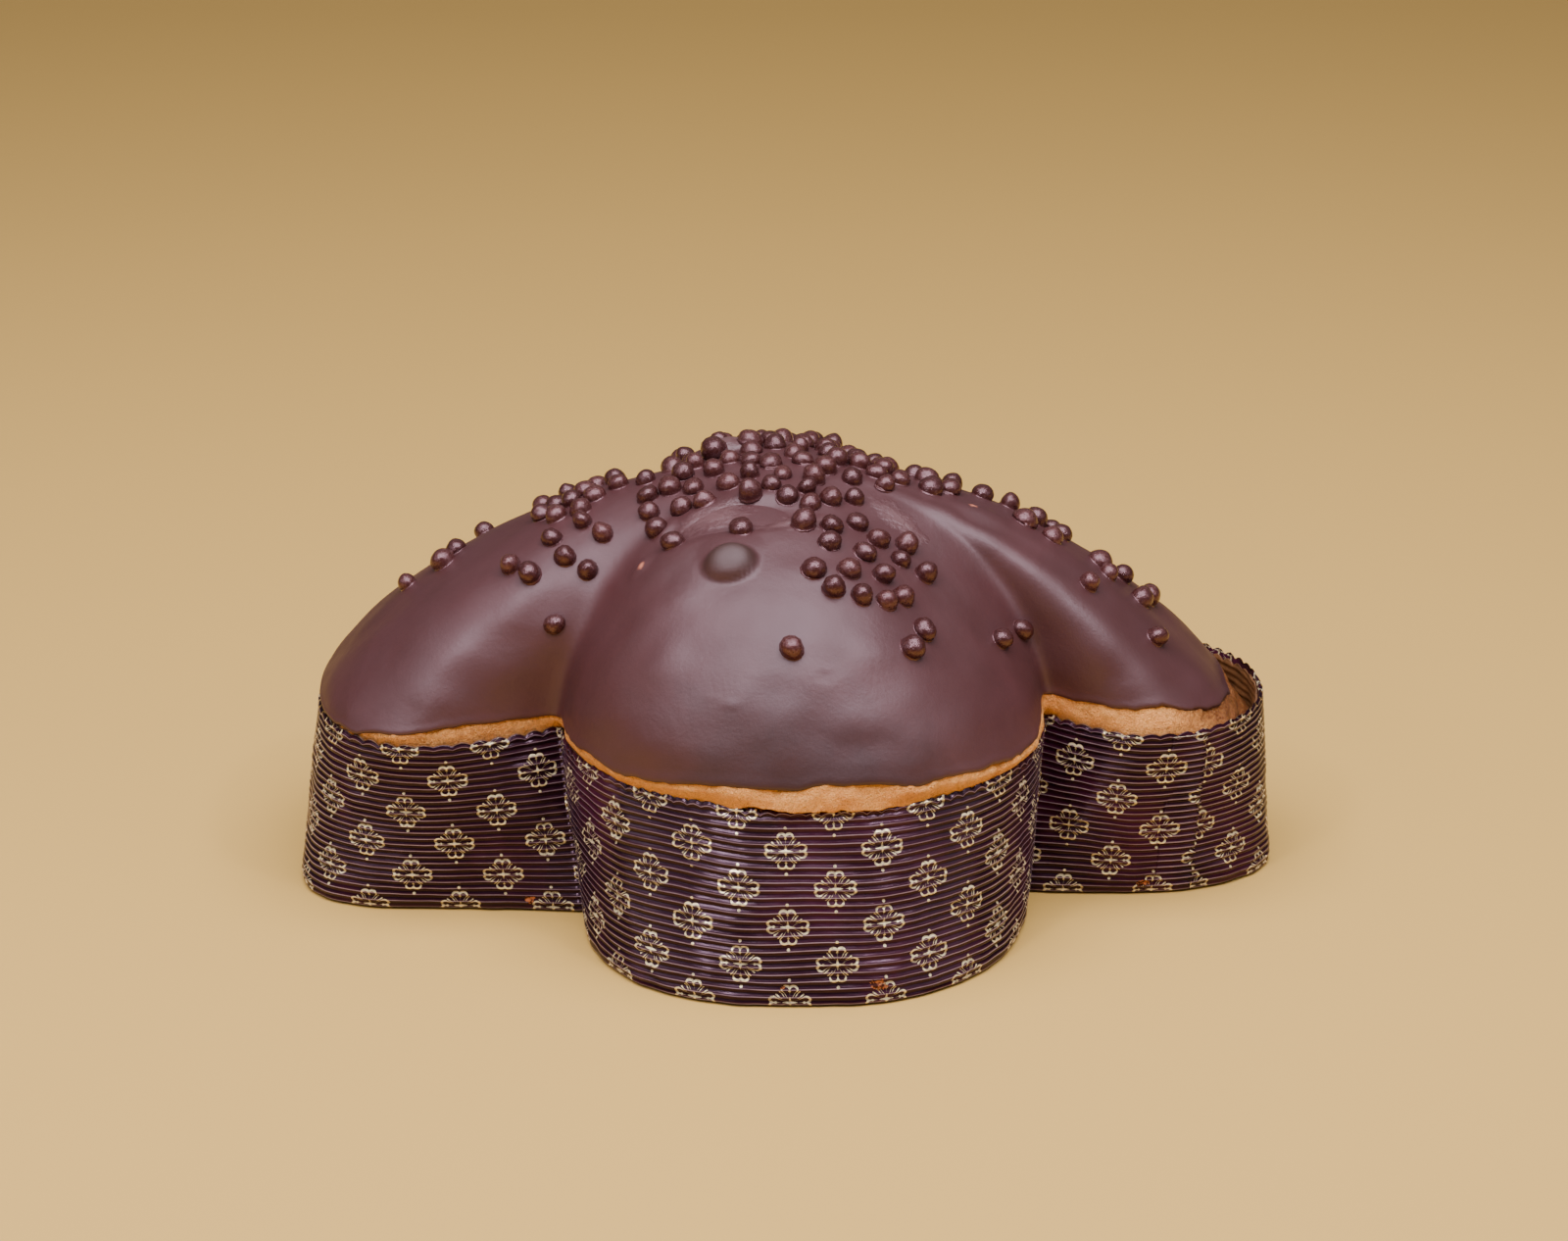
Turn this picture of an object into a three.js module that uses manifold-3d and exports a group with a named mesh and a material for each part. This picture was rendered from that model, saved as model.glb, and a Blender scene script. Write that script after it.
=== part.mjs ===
// A dove-shaped Easter cake in its pleated paper case, glazed with dark chocolate and strewn with
// chocolate pearls. Millimetres, +Z up, +X towards the dove's head, -Y towards the near wing.
// The origin is on the floor under the middle of the case. The far wing mirrors the near one.
import * as THREE from "three";
import { mergeVertices } from "three/addons/utils/BufferGeometryUtils.js";
import Module from "manifold-3d";

const { PI, abs, asin, atan2, cos, exp, hypot, max, min, sign, sin, tanh } = Math;
const range = (count) => Array.from({ length: count }, (_, i) => i);

// The case's outline at the floor and at its rim. Each lobe is a superellipse: its centre along X (a
// wing's centre along Y is its depth), its reach, its half width and its power. The lobes meet in a
// crease, the notch, on the near side at x and depth y.
const FOOT = {
  head: { centre: 105, reach: 50, half: 29, power: 2.0, notch: [75, 28] },
  tail: { centre: 115, reach: 40, half: 39.5, power: 3.0, notch: [63.5, 43] },
  wing: { middle: 5, sweep: -3, depth: 30, reach: 76, power: 2.45 },
};
const RIM = {
  head: { centre: 108, reach: 41, half: 44, power: 2.1, notch: [79.5, 26.5] },
  tail: { centre: 109, reach: 38, half: 53, power: 2.3, notch: [70, 36.5] },
  wing: { middle: 5, sweep: 0, depth: 25, reach: 73, power: 2.15 },
};
const RIM_Z = 61;
const RIM_WAVE = 0.5; // the rim rises and falls by this much
const TOOTH_DEPTH = 1.1; // of the pinked rim
const PAPER = 0.9;
const FOOT_ROUND = 3; // the case's lower edge turns in over this height
const FOOT_INSET = 2.2; // and by this much
const TEETH = { head: 18, wing: 50, tail: 20 }; // of half the rim

// The cake's dome.
const TOP_Z = 133.5;
const SUMMIT_X = -8;
const GAP = 0.3; // between two pieces
const SLACK = 1.5; // of the crust from the paper below the rim
const GLAZE = 1.7;
const CREASE_POWER = 1.5; // how fast the creases between the lobes fade towards the summit
const OVAL_POWER = 8; // how sharply the dome's level lines are drawn out along X near the summit
const LEAN_POWER = 3; // how fast the crust's lean over the floor's outline fades towards the summit
const DOME_POWERS = {
  // plan and height powers of the dome's profile on each lobe
  head: [1.95, 1.07],
  tail: [1.6, 1.24],
  wing: [2.0, 1.6],
};
const FINE = 5; // points to a tooth where the dome's outline is worked out
const COLUMN_TEETH = 2; // teeth between two columns of the solids' grid
const SOFT_REACH = 10; // points over which the creases are rounded

// Levels of the dome's rings: -1 is the crust's foot, 0 the glaze's edge and 1 the summit.
const CRUST_LEVELS = [-1, -0.55, -0.15];
const CRUST_DEPTHS = [1.0, 0.5, 0.9]; // of the bare crust under the dome's outer face
const GLAZE_LEVELS = range(7).map((k) => k / 7);

// What changes along half the outline: [place, value], where place runs from 0 at the head's end to
// 1 and 2 at the two notches and to 3 at the tail's end.
const CRUST_OUT = [[0, -7], [0.35, -3.5], [0.7, -1.6], [1, -0.5], [1.15, 2.6], [1.85, 2.6],
  [2, -0.5], [2.25, -1.4], [2.45, -0.5], [2.7, 1.2], [3, 1.4]]; // of the crust beyond the paper
const CRUST_FOOT = [[0, 54], [0.3, 57], [0.6, 62.3], [3, 62.3]]; // where the crust leaves the paper
const GLAZE_EDGE = [[0, 6], [0.5, 7], [1, 7], [1.15, 4], [1.5, 6.5], [1.85, 4], [2, 3.5],
  [2.4, 4.5], [2.75, 1.6], [3, 1.2]]; // height of the glaze's lower edge above the crust's foot

// Lumps of dough under the glaze: centre, half axes and height above the dome.
const LUMPS = [
  { x: -17, y: -53, along: 9.5, across: 7.5, height: 4.5 },
  { x: -20, y: 20, along: 8, across: 7, height: 3.5 },
];

// Pearls: each shower is an oval patch of the dome seen from above, with a number of pearls.
const PEARL_RADIUS = 3.9;
const PEARL_SUNK = 1.1;
const PEARL_APART = 7.2;
const SEED = 20117;
const SHOWERS = [
  { x: 4, y: 6, along: 40, across: 20, count: 34 },
  { x: 30, y: 8, along: 22, across: 16, count: 14 },
  { x: -2, y: -18, along: 26, across: 10, count: 11 },
  { x: -36, y: -8, along: 9, across: 20, count: 9 },
  { x: 24, y: -38, along: 24, across: 8, count: 13 },
  { x: 20, y: -54, along: 14, across: 10, count: 7 },
  { x: -66, y: 6, along: 15, across: 14, count: 15 },
  { x: -64, y: -22, along: 9, across: 9, count: 5 },
  { x: -82, y: -26, along: 5, across: 6, count: 3 },
  { x: -71, y: -35, along: 5, across: 5, count: 2 },
  { x: 60, y: 15, along: 14, across: 7, count: 6 },
  { x: 81, y: 6, along: 9, across: 12, count: 6 },
  { x: 104, y: 4, along: 9, across: 8, count: 6 },
  { x: -4, y: 40, along: 36, across: 14, count: 14 },
  { x: 16, y: 62, along: 22, across: 12, count: 7 },
];
const STRAYS = [[-119, 6], [-104, 10], [-107, 4], [92, -18], [113, -20], [71, -29], [64, -41],
  [1, -79], [36, -70], [40, -61], [-14, -40], [-34, -37], [-44, 58], [-96, 27], [66, 34], [-8, 82]];

// The pieces' colours, roughness and metalness.
const LOOKS = {
  paper_case: new THREE.MeshStandardMaterial({ color: 0x43232f, roughness: 0.45, metalness: 0 }),
  cake: new THREE.MeshStandardMaterial({ color: 0xc98542, roughness: 0.85, metalness: 0 }),
  glaze: new THREE.MeshStandardMaterial({ color: 0x4b2f2c, roughness: 0.35, metalness: 0 }),
};

const power = (value, exponent) => sign(value) * abs(value) ** exponent;
const mix = (a, b, share) => a + (b - a) * share;
const smooth = (from, to, value) => {
  const t = min(max((value - from) / (to - from), 0), 1);
  return t * t * (3 - 2 * t);
};

// The value at a place among stations, easing from each station to the next.
function along(stations, place) {
  const next = stations.findIndex(([at]) => at >= place);
  if (next <= 0) return stations[0][1];
  const [a, from] = stations[next - 1];
  const [b, to] = stations[next];
  return mix(from, to, smooth(a, b, place));
}

// A lobe's end and side, from its tip on the X axis round to its notch, as a fine polyline.
function lobe({ centre, reach, half, power: n, notch }) {
  const steps = range(201).map((i) => i / 200);
  const end = steps.map((s) => new THREE.Vector2(
    centre + reach * power(cos((s * PI) / 2), 2 / n), -half * power(sin((s * PI) / 2), 2 / n)));
  const side = steps.slice(1).map((s) => new THREE.Vector2(
    mix(centre, notch[0], s), -mix(half, notch[1], s ** 1.5)));
  return [...end, ...side];
}

// The near wing, from the head's notch round its tip to the tail's notch. Its half width changes
// smoothly from the head's side to the tail's, so that it meets both notches.
function wing({ middle, sweep, depth, reach, power: n }, headNotch, tailNotch) {
  const angleAt = (y) => asin(power((y - depth) / reach, n / 2));
  const middleAt = (y) => middle + sweep * min(max((y - depth) / reach, 0), 1);
  const from = angleAt(headNotch[1]);
  const to = PI - angleAt(tailNotch[1]);
  const headHalf = (headNotch[0] - middleAt(headNotch[1])) / cos(from) ** (2 / n);
  const tailHalf = (middleAt(tailNotch[1]) + tailNotch[0]) / abs(cos(to)) ** (2 / n);
  return range(401).map((i) => {
    const angle = mix(from, to, i / 400);
    const half = mix(tailHalf, headHalf, 0.5 + 0.5 * tanh(3 * cos(angle)));
    const y = depth + reach * power(sin(angle), 2 / n);
    return new THREE.Vector2(middleAt(y) + half * power(cos(angle), 2 / n), -y);
  });
}

// Points at even steps along a polyline, its last point left out.
function evenly(line, count) {
  const runs = [0];
  line.slice(1).forEach((point, i) => runs.push(runs[i] + point.distanceTo(line[i])));
  let k = 0;
  return range(count).map((i) => {
    const run = (runs.at(-1) * i) / count;
    while (runs[k + 1] < run) k += 1;
    return line[k].clone().lerp(line[k + 1], (run - runs[k]) / (runs[k + 1] - runs[k]));
  });
}

// The closed outline with some points to each tooth of the rim. Each point knows its place. It runs
// from the head's end along the near side to the tail's end and back along the far side.
function outline(plan, fineness) {
  const head = lobe(plan.head);
  const tail = lobe(plan.tail).map(({ x, y }) => new THREE.Vector2(-x, y)).reverse();
  const near = [
    [head, TEETH.head], [wing(plan.wing, plan.head.notch, plan.tail.notch), TEETH.wing],
    [tail, TEETH.tail],
  ].flatMap(([line, teeth], section) => (
    evenly(line, teeth * fineness).map(({ x, y }, i) => (
      { x, y, place: section + i / (teeth * fineness) }))));
  const far = near.slice(1).map(({ x, y, place }) => ({ x, y: -y, place })).reverse();
  return [...near, { x: tail.at(-1).x, y: 0, place: 3 }, ...far];
}

// The outline moved out along its own normals by a distance given for each place.
function moved(ring, distance) {
  const count = ring.length;
  return ring.map((point, i) => {
    const before = ring[(i + count - 1) % count];
    const after = ring[(i + 1) % count];
    const a = new THREE.Vector2(before.y - point.y, point.x - before.x).normalize();
    const b = new THREE.Vector2(point.y - after.y, after.x - point.x).normalize();
    const normal = a.add(b).normalize();
    const out = distance(point.place);
    return { ...point, x: point.x + normal.x * out, y: point.y + normal.y * out };
  });
}

// The outline with its creases rounded by a bell-shaped average over neighbours.
function softened(ring) {
  const steps = range(2 * SOFT_REACH + 1).map((k) => k - SOFT_REACH);
  const weights = steps.map((k) => exp(-0.5 * (k / (0.45 * SOFT_REACH)) ** 2));
  const whole = weights.reduce((sum, weight) => sum + weight, 0);
  const average = (i, axis) => steps.reduce((sum, k, w) => (
    sum + weights[w] * ring[(i + k + ring.length) % ring.length][axis]), 0) / whole;
  return ring.map((point, i) => ({ ...point, x: average(i, "x"), y: average(i, "y") }));
}

// A closed body from rings of points, each ring joined to the next and the first and last to a pole.
// A ring has as many points as the one before it, or twice or half as many. Where four points make a
// face, it is split along its shorter diagonal.
function body(firstPole, rings, lastPole) {
  const points = [firstPole, ...rings.flat(), lastPole];
  const apart = (i, j) => hypot(points[i].x - points[j].x, points[i].y - points[j].y,
    points[i].z - points[j].z);
  const starts = [];
  rings.reduce((start, ring) => starts.push(start) && start + ring.length, 1);
  const at = (k, i) => starts[k] + (i % rings[k].length);
  const top = rings.length - 1;
  const last = points.length - 1;
  const index = [];
  range(rings[0].length).forEach((i) => index.push(0, at(0, i), at(0, i + 1)));
  range(top).forEach((k) => {
    const steps = min(rings[k].length, rings[k + 1].length);
    const [below, above] = [rings[k].length / steps, rings[k + 1].length / steps];
    range(steps).forEach((i) => {
      const [a, b] = [at(k, below * i), at(k, below * (i + 1))];
      const [c, d] = [at(k + 1, above * i), at(k + 1, above * (i + 1))];
      const [halfBelow, halfAbove] = [at(k, below * i + 1), at(k + 1, above * i + 1)];
      if (above === 2) index.push(a, c, halfAbove, a, halfAbove, b, b, halfAbove, d);
      else if (below === 2) index.push(a, c, halfBelow, c, d, halfBelow, halfBelow, d, b);
      else if (apart(a, d) < apart(b, c)) index.push(a, c, d, a, d, b);
      else index.push(a, c, b, b, c, d);
    });
  });
  range(rings[top].length).forEach((i) => index.push(last, at(top, i + 1), at(top, i)));
  const position = new THREE.Float32BufferAttribute(points.flatMap(({ x, y, z }) => [x, y, z]), 3);
  return new THREE.BufferGeometry().setAttribute("position", position).setIndex(index);
}

const FOOT_RING = outline(FOOT, 1);
const RIM_RING = outline(RIM, 1);

// A ring of the case's wall, at a height given for each place. The wall is ruled from the floor's
// outline to the rim's, and the ring lies in from its outer face.
function wallRing(height, inset) {
  const ring = FOOT_RING.map(({ x, y, place }, i) => {
    const z = height(place);
    return { place, z, x: mix(x, RIM_RING[i].x, z / RIM_Z), y: mix(y, RIM_RING[i].y, z / RIM_Z) };
  });
  return moved(ring, () => -inset);
}

function paperCase() {
  const teeth = outline(RIM, 2).map((point, i, { length }) => {
    const turn = (2 * PI * i) / length;
    const wave = RIM_WAVE * (0.6 * sin(7 * turn + 0.6) + 0.4 * sin(17 * turn + 2.5));
    return { ...point, z: RIM_Z + wave - (i % 2 ? 0 : TOOTH_DEPTH) };
  });
  return body({ x: SUMMIT_X, y: 0, z: 0 }, [
    wallRing(() => 0, FOOT_INSET),
    wallRing(() => FOOT_ROUND, 0),
    teeth,
    moved(teeth, () => -PAPER),
    wallRing(() => FOOT_ROUND, PAPER),
    wallRing(() => PAPER, FOOT_INSET + PAPER),
  ], { x: SUMMIT_X, y: 0, z: PAPER });
}

// The dome's columns, one for each point of the outline: a column's angle and radius about the
// summit at the floor's outline, and how far the crust leans over that.
function domeColumns() {
  const foot = softened(outline(FOOT, FINE));
  const crust = softened(moved(outline(RIM, FINE), (place) => along(CRUST_OUT, place)));
  return foot.map(({ x, y, place }, i) => ({
    place, radius: hypot(x - SUMMIT_X, y), angle: atan2(y, x - SUMMIT_X),
    leanX: crust[i].x - x, leanY: crust[i].y - y }));
}

const COLUMNS = domeColumns();
const HEAD_REACH = COLUMNS[0].radius;
const TAIL_REACH = COLUMNS[COLUMNS.length / 2].radius;
const WING_REACH = max(...COLUMNS.map(({ radius, angle }) => abs(radius * sin(angle))));

// The dome is a family of level lines. At the rise 0 the line is the crust's outline; towards the
// summit it shrinks and turns into an oval, while its height follows a superellipse whose powers
// change from lobe to lobe. The point of a column at a rise from 0 to a quarter turn:
function domePoint({ radius, angle, place, leanX, leanY }, rise) {
  const c = cos(angle);
  const headShare = smooth(0.3, 0.9, c);
  const tailShare = smooth(0.3, 0.9, -c);
  const blend = (k) => headShare * DOME_POWERS.head[k] + tailShare * DOME_POWERS.tail[k]
    + (1 - headShare - tailShare) * DOME_POWERS.wing[k];
  const reach = c > 0 ? HEAD_REACH : TAIL_REACH;
  const oval = WING_REACH + (reach - WING_REACH) * c ** OVAL_POWER;
  const shrink = max(cos(rise), 0) ** (2 / blend(0));
  const out = shrink * mix(oval, radius, shrink ** CREASE_POWER);
  const lean = shrink ** LEAN_POWER;
  return new THREE.Vector3(SUMMIT_X + out * c + lean * leanX, out * sin(angle) + lean * leanY,
    mix(along(CRUST_FOOT, place), TOP_Z, sin(rise) ** (2 / blend(1))));
}

// The rise at which a column reaches the glaze's lower edge.
function edgeRise(column) {
  const edge = along(CRUST_FOOT, column.place) + along(GLAZE_EDGE, column.place);
  let low = 0;
  let high = PI / 2;
  range(30).forEach(() => {
    const middle = (low + high) / 2;
    if (domePoint(column, middle).z < edge) low = middle;
    else high = middle;
  });
  return high;
}

// Rings of the dome at some levels, each at its own depth under the dome's outer face.
function domeRings(levels, depths) {
  const columns = COLUMNS.filter((_, i) => i % (COLUMN_TEETH * FINE) === 0);
  const rings = levels.map((level) => columns.map((column) => {
    const edge = edgeRise(column);
    return domePoint(column, level < 0 ? edge * (1 + level) : mix(edge, PI / 2, level));
  }));
  const count = columns.length;
  return rings.map((ring, k) => ring.map((point, i) => {
    const across = ring[(i + 1) % count].clone().sub(ring[(i + count - 1) % count]);
    const up = (rings[k + 1] ?? ring)[i].clone().sub((rings[k - 1] ?? ring)[i]);
    return point.clone().addScaledVector(up.cross(across).normalize(), -depths[k]);
  }));
}
const summit = (depth) => new THREE.Vector3(SUMMIT_X, 0, TOP_Z - depth);

function cakeBody() {
  const glazed = GLAZE_LEVELS.map(() => GLAZE + GAP);
  const insideRing = (height, inset) => (
    wallRing(height, PAPER + inset).filter((_, i) => i % COLUMN_TEETH === 0));
  return body({ x: SUMMIT_X, y: 0, z: PAPER + GAP }, [
    insideRing(() => PAPER + GAP, FOOT_INSET + SLACK),
    insideRing(() => 1.4 * FOOT_ROUND, SLACK),
    insideRing((place) => along(CRUST_FOOT, place) - GAP, SLACK),
    ...domeRings([...CRUST_LEVELS, ...GLAZE_LEVELS], [...CRUST_DEPTHS, ...glazed]),
  ], summit(GLAZE + GAP));
}

function glazeSkin() {
  const ringsAt = (depth) => domeRings(GLAZE_LEVELS, GLAZE_LEVELS.map(() => depth));
  return body(summit(GLAZE), [...ringsAt(GLAZE).reverse(), ...ringsAt(0)], summit(0));
}

// Pearls' places in plan: seeded draws in each shower, each kept if no other pearl is too near.
function pearlPlaces() {
  let state = SEED;
  const draw = () => {
    state = (state * 16807) % 2147483647;
    return state / 2147483647;
  };
  const kept = [...STRAYS];
  SHOWERS.forEach(({ x, y, along: a, across: b, count }) => {
    const enough = kept.length + count;
    range(40 * count).forEach(() => {
      const turn = 2 * PI * draw();
      const out = draw() ** 0.5;
      const place = [x + a * out * cos(turn), y + b * out * sin(turn)];
      const near = kept.some((other) => hypot(other[0] - place[0], other[1] - place[1]) < PEARL_APART);
      if (kept.length < enough && !near) kept.push(place);
    });
  });
  return kept;
}

const wasm = await Module();
wasm.setup();

// A solid from a closed surface.
function solid(geometry) {
  const bare = geometry.clone();
  bare.deleteAttribute("normal");
  bare.deleteAttribute("uv");
  const merged = mergeVertices(bare, 1e-4);
  return new wasm.Manifold(new wasm.Mesh({
    numProp: 3,
    vertProperties: merged.attributes.position.array,
    triVerts: new Uint32Array(merged.index.array),
  }));
}

// A solid's surface.
function surface(made) {
  const { numProp, vertProperties, triVerts } = made.getMesh();
  const values = range(vertProperties.length / numProp).flatMap((i) => (
    [0, 1, 2].map((k) => vertProperties[i * numProp + k])));
  return new THREE.BufferGeometry()
    .setAttribute("position", new THREE.Float32BufferAttribute(values, 3))
    .setIndex(new THREE.BufferAttribute(triVerts, 1));
}

// The glaze with its lumps and pearls fused on, each standing square to the skin below it.
function glaze() {
  const skin = glazeSkin();
  const target = new THREE.Mesh(skin);
  const ray = new THREE.Raycaster();
  const up = new THREE.Vector3(0, 0, 1);
  const stand = (geometry, x, y, rise) => {
    ray.set(new THREE.Vector3(x, y, 2 * TOP_Z), up.clone().negate());
    const { point, face } = ray.intersectObject(target)[0];
    const turn = new THREE.Quaternion().setFromUnitVectors(up, face.normal);
    const { x: dx, y: dy, z: dz } = point.addScaledVector(face.normal, rise);
    return solid(geometry.applyQuaternion(turn).translate(dx, dy, dz));
  };
  const arc = range(5).map((i) => new THREE.Vector2(cos((i * PI) / 8), sin((i * PI) / 8)));
  const sunk = 0.5 * GLAZE;
  const lumps = LUMPS.map(({ x, y, along: a, across: b, height }) => {
    const lump = new THREE.LatheGeometry([new THREE.Vector2(0, 0), ...arc], 10).rotateX(PI / 2);
    return stand(lump.scale(a, b, height + sunk), x, y, -sunk);
  });
  const pearls = pearlPlaces().map(([x, y]) => {
    const pearl = new THREE.SphereGeometry(PEARL_RADIUS, 5, 3).rotateX(PI / 2);
    return stand(pearl, x, y, PEARL_RADIUS - PEARL_SUNK);
  });
  return surface([...lumps, ...pearls].reduce((whole, piece) => whole.add(piece), solid(skin)));
}

function mesh(name, geometry) {
  const made = new THREE.Mesh(geometry, LOOKS[name]);
  made.name = name;
  return made;
}

const cake = new THREE.Group();
cake.add(mesh("paper_case", paperCase()), mesh("cake", cakeBody()), mesh("glaze", glaze()));
export default cake;
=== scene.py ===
"""A dove-shaped Easter cake in its pleated paper case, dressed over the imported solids.

The printed case, its kraft lining, the crust, the chocolate glaze and the chocolate pearls are each
a surface worked out from the same outlines and dome as the solids that they stand for. Lengths are
in metres, +X points to the dove's head, -Y to the near wing and +Z up.
"""

import bpy
import numpy as np
from bpy.props import FloatProperty, FloatVectorProperty, IntProperty, PointerProperty
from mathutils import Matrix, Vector
from mathutils.bvhtree import BVHTree


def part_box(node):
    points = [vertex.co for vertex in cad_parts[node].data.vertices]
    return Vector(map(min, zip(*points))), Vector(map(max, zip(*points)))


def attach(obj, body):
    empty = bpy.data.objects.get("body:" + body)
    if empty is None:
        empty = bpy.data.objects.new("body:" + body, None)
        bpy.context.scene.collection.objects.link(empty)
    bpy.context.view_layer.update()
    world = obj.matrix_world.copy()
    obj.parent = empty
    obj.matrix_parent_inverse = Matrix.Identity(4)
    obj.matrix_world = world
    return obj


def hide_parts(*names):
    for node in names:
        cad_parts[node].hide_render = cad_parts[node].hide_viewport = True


bl_info = {
    "name": "Colomba Cake",
    "version": (1, 0, 0),
    "blender": (4, 5, 0),
    "location": "3D View > Sidebar > Colomba",
    "description": "A glazed colomba cake in its pleated paper case",
    "category": "Object",
}

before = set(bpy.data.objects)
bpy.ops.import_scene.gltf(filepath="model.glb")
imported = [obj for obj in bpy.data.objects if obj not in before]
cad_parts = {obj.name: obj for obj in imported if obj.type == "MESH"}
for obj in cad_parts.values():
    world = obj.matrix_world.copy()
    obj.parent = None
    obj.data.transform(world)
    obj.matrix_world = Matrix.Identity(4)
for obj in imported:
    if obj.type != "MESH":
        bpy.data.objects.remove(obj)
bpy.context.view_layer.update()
CASE_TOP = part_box("paper_case")[1][2]
MM = 0.001

# The case's outline at the floor and at its rim: each lobe is a superellipse, and the lobes meet in
# creases, the notches. A wing's centre across is its depth.
FOOT = {
    "head": {"centre": 0.105, "reach": 0.050, "half": 0.029, "power": 2.0,
             "notch": (0.075, 0.028)},
    "tail": {"centre": 0.115, "reach": 0.040, "half": 0.0395, "power": 3.0,
             "notch": (0.0635, 0.043)},
    "wing": {"middle": 0.005, "sweep": -0.003, "depth": 0.030, "reach": 0.076, "power": 2.45},
}
RIM = {
    "head": {"centre": 0.108, "reach": 0.041, "half": 0.044, "power": 2.1,
             "notch": (0.0795, 0.0265)},
    "tail": {"centre": 0.109, "reach": 0.038, "half": 0.053, "power": 2.3,
             "notch": (0.070, 0.0365)},
    "wing": {"middle": 0.005, "sweep": 0.0, "depth": 0.025, "reach": 0.073, "power": 2.15},
}
TEETH = {"head": 18, "wing": 50, "tail": 20}  # of half the pinked rim
RIM_WAVE = 0.0005
RIM_Z = CASE_TOP - RIM_WAVE  # the rim's mean height
FOOT_ROUND = 0.003  # the wall turns in below this height
FOOT_INSET = 0.0022  # and by this much
PAPER = 0.0009  # print and lining together
SHEET = 0.00045  # one of the two
HAIR = 0.0002  # the least gap beside a sheet
SEAM_RUN = 0.043  # run along the near side from the head's end to the glued seam

# The dome: level lines shrink from the crust's outline to the summit.
SUMMIT_X = -0.008
TOP_Z = 0.1335
CREASE_POWER = 1.5
OVAL_POWER = 8
LEAN_POWER = 3
DOME_POWERS = {"head": (1.95, 1.07), "tail": (1.6, 1.24), "wing": (2.0, 1.6)}
LOBE_BLEND = (0.3, 0.9)  # cosines from the wing's profile to that of the head or tail
SOFT_TEETH = 2.0  # teeth over which the creases are rounded
BELL = 0.45  # width of the rounding's bell, as a share of its reach
GLAZE = 0.0017  # thickness
GAP = 0.0003  # between pieces that touch
SLACK = 0.0015  # between dough and paper

# Stations along half the outline: place 0 is the head's end, 1 and 2 the notches, 3 the tail's end.
CRUST_OUT = [(0, -7), (0.35, -3.5), (0.7, -1.6), (1, -0.5), (1.15, 2.6), (1.85, 2.6), (2, -0.5),
             (2.25, -1.4), (2.45, -0.5), (2.7, -0.4), (3, -0.4)]  # millimetres beyond the paper
CRUST_FOOT = [(0, 54), (0.3, 57), (0.6, 62.3), (3, 62.3)]  # millimetres up
GLAZE_EDGE = [(0, 5), (0.5, 6.8), (1, 7), (1.15, 4), (1.5, 6.5), (1.85, 4), (2, 3.5), (2.3, 3.6),
              (2.5, 1.4), (2.72, -0.6), (3, -0.8)]  # millimetres above the crust's foot
LIP = (1.34, 1.43, 1.57, 1.66)  # where the crust comes over the paper and goes back

# Waves in layers: the size, length and seed of each. Only the glaze's edge and the crust have their
# sizes in millimetres, and the swell's are shares of it.
EDGE_WAVES = [(0.5, 0.045, 3), (0.3, 0.014, 4), (0.14, 0.005, 5)]
EDGE_MOST = 1.4  # and the most that they may add up to
EDGE_LOWEST = -0.8
SWELL_WAVES = [(1, 0.05, 41), (0.35, 0.016, 42)]
PLEAT_DRIFT = [(0.00026, 0.05, 11)]
PAPER_DENTS = [(0.00022, 0.045, 12), (0.00010, 0.010, 13)]
LINING_FOLDS = [(0.0002, 0.012, 21)]
CRUST_FOLDS = [(0.28, 0.011, 31), (0.20, 0.0038, 32)]
LIP_WAVES = [(0.5, 0.013, 33), (0.25, 0.004, 34)]
PEARL_DIMPLES = [(0.028, 1.2, 51)]  # lengths in radii

CALM_EDGE = 0.14  # lumps and swell grow from the glaze's edge up to this level
BEAD = 0.0002  # the glaze's edge is thicker by this
BEAD_LEVEL = 0.04  # up to this level
LEAST_RISE = 0.02  # of the glaze's edge over the crust's foot, in radians

# Lumps and hollows of the glazed dome, in millimetres: place in plan, half axes, turn in degrees,
# steepness of the sides (2 is a soft bell, 4 a boss) and height.
LUMPS = [
    (-17, -54, 8.4, 6.2, 0, 5, 3.6),
    (-17, -49, 11, 8.5, 0, 2, 1.9),
    (-20, 21, 9.0, 7.0, 20, 3, 3.2),
    (-27, 25, 4.0, 3.0, 0, 2, 1.4),
    (-13, 18, 4.5, 3.0, 30, 2, 1.1),
    (-14, -33, 32, 10, 5, 2, -3.0),
    (6, -66, 38, 22, 0, 2, 1.2),
    (-26, -35, 7, 2.6, 35, 2, 1.1),
    (-12, -37, 6, 2.2, -25, 2, 0.9),
    (2, -36, 7, 2.6, 15, 2, 1.0),
    (7, -34, 1.6, 1.4, 0, 2, -0.9),
    (-37, -27, 6, 3.0, 60, 2, 1.0),
    (11, -84, 2.4, 1.4, 35, 2, -0.4),
    (-17, -88, 1.7, 1.3, 0, 2, 0.45),
    (-21, -86, 1.3, 1.0, 0, 2, 0.35),
    (60, -8, 10, 7, 0, 2, 1.2),
    (-44, -39, 5, 4, 40, 2, 0.9),
]

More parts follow.
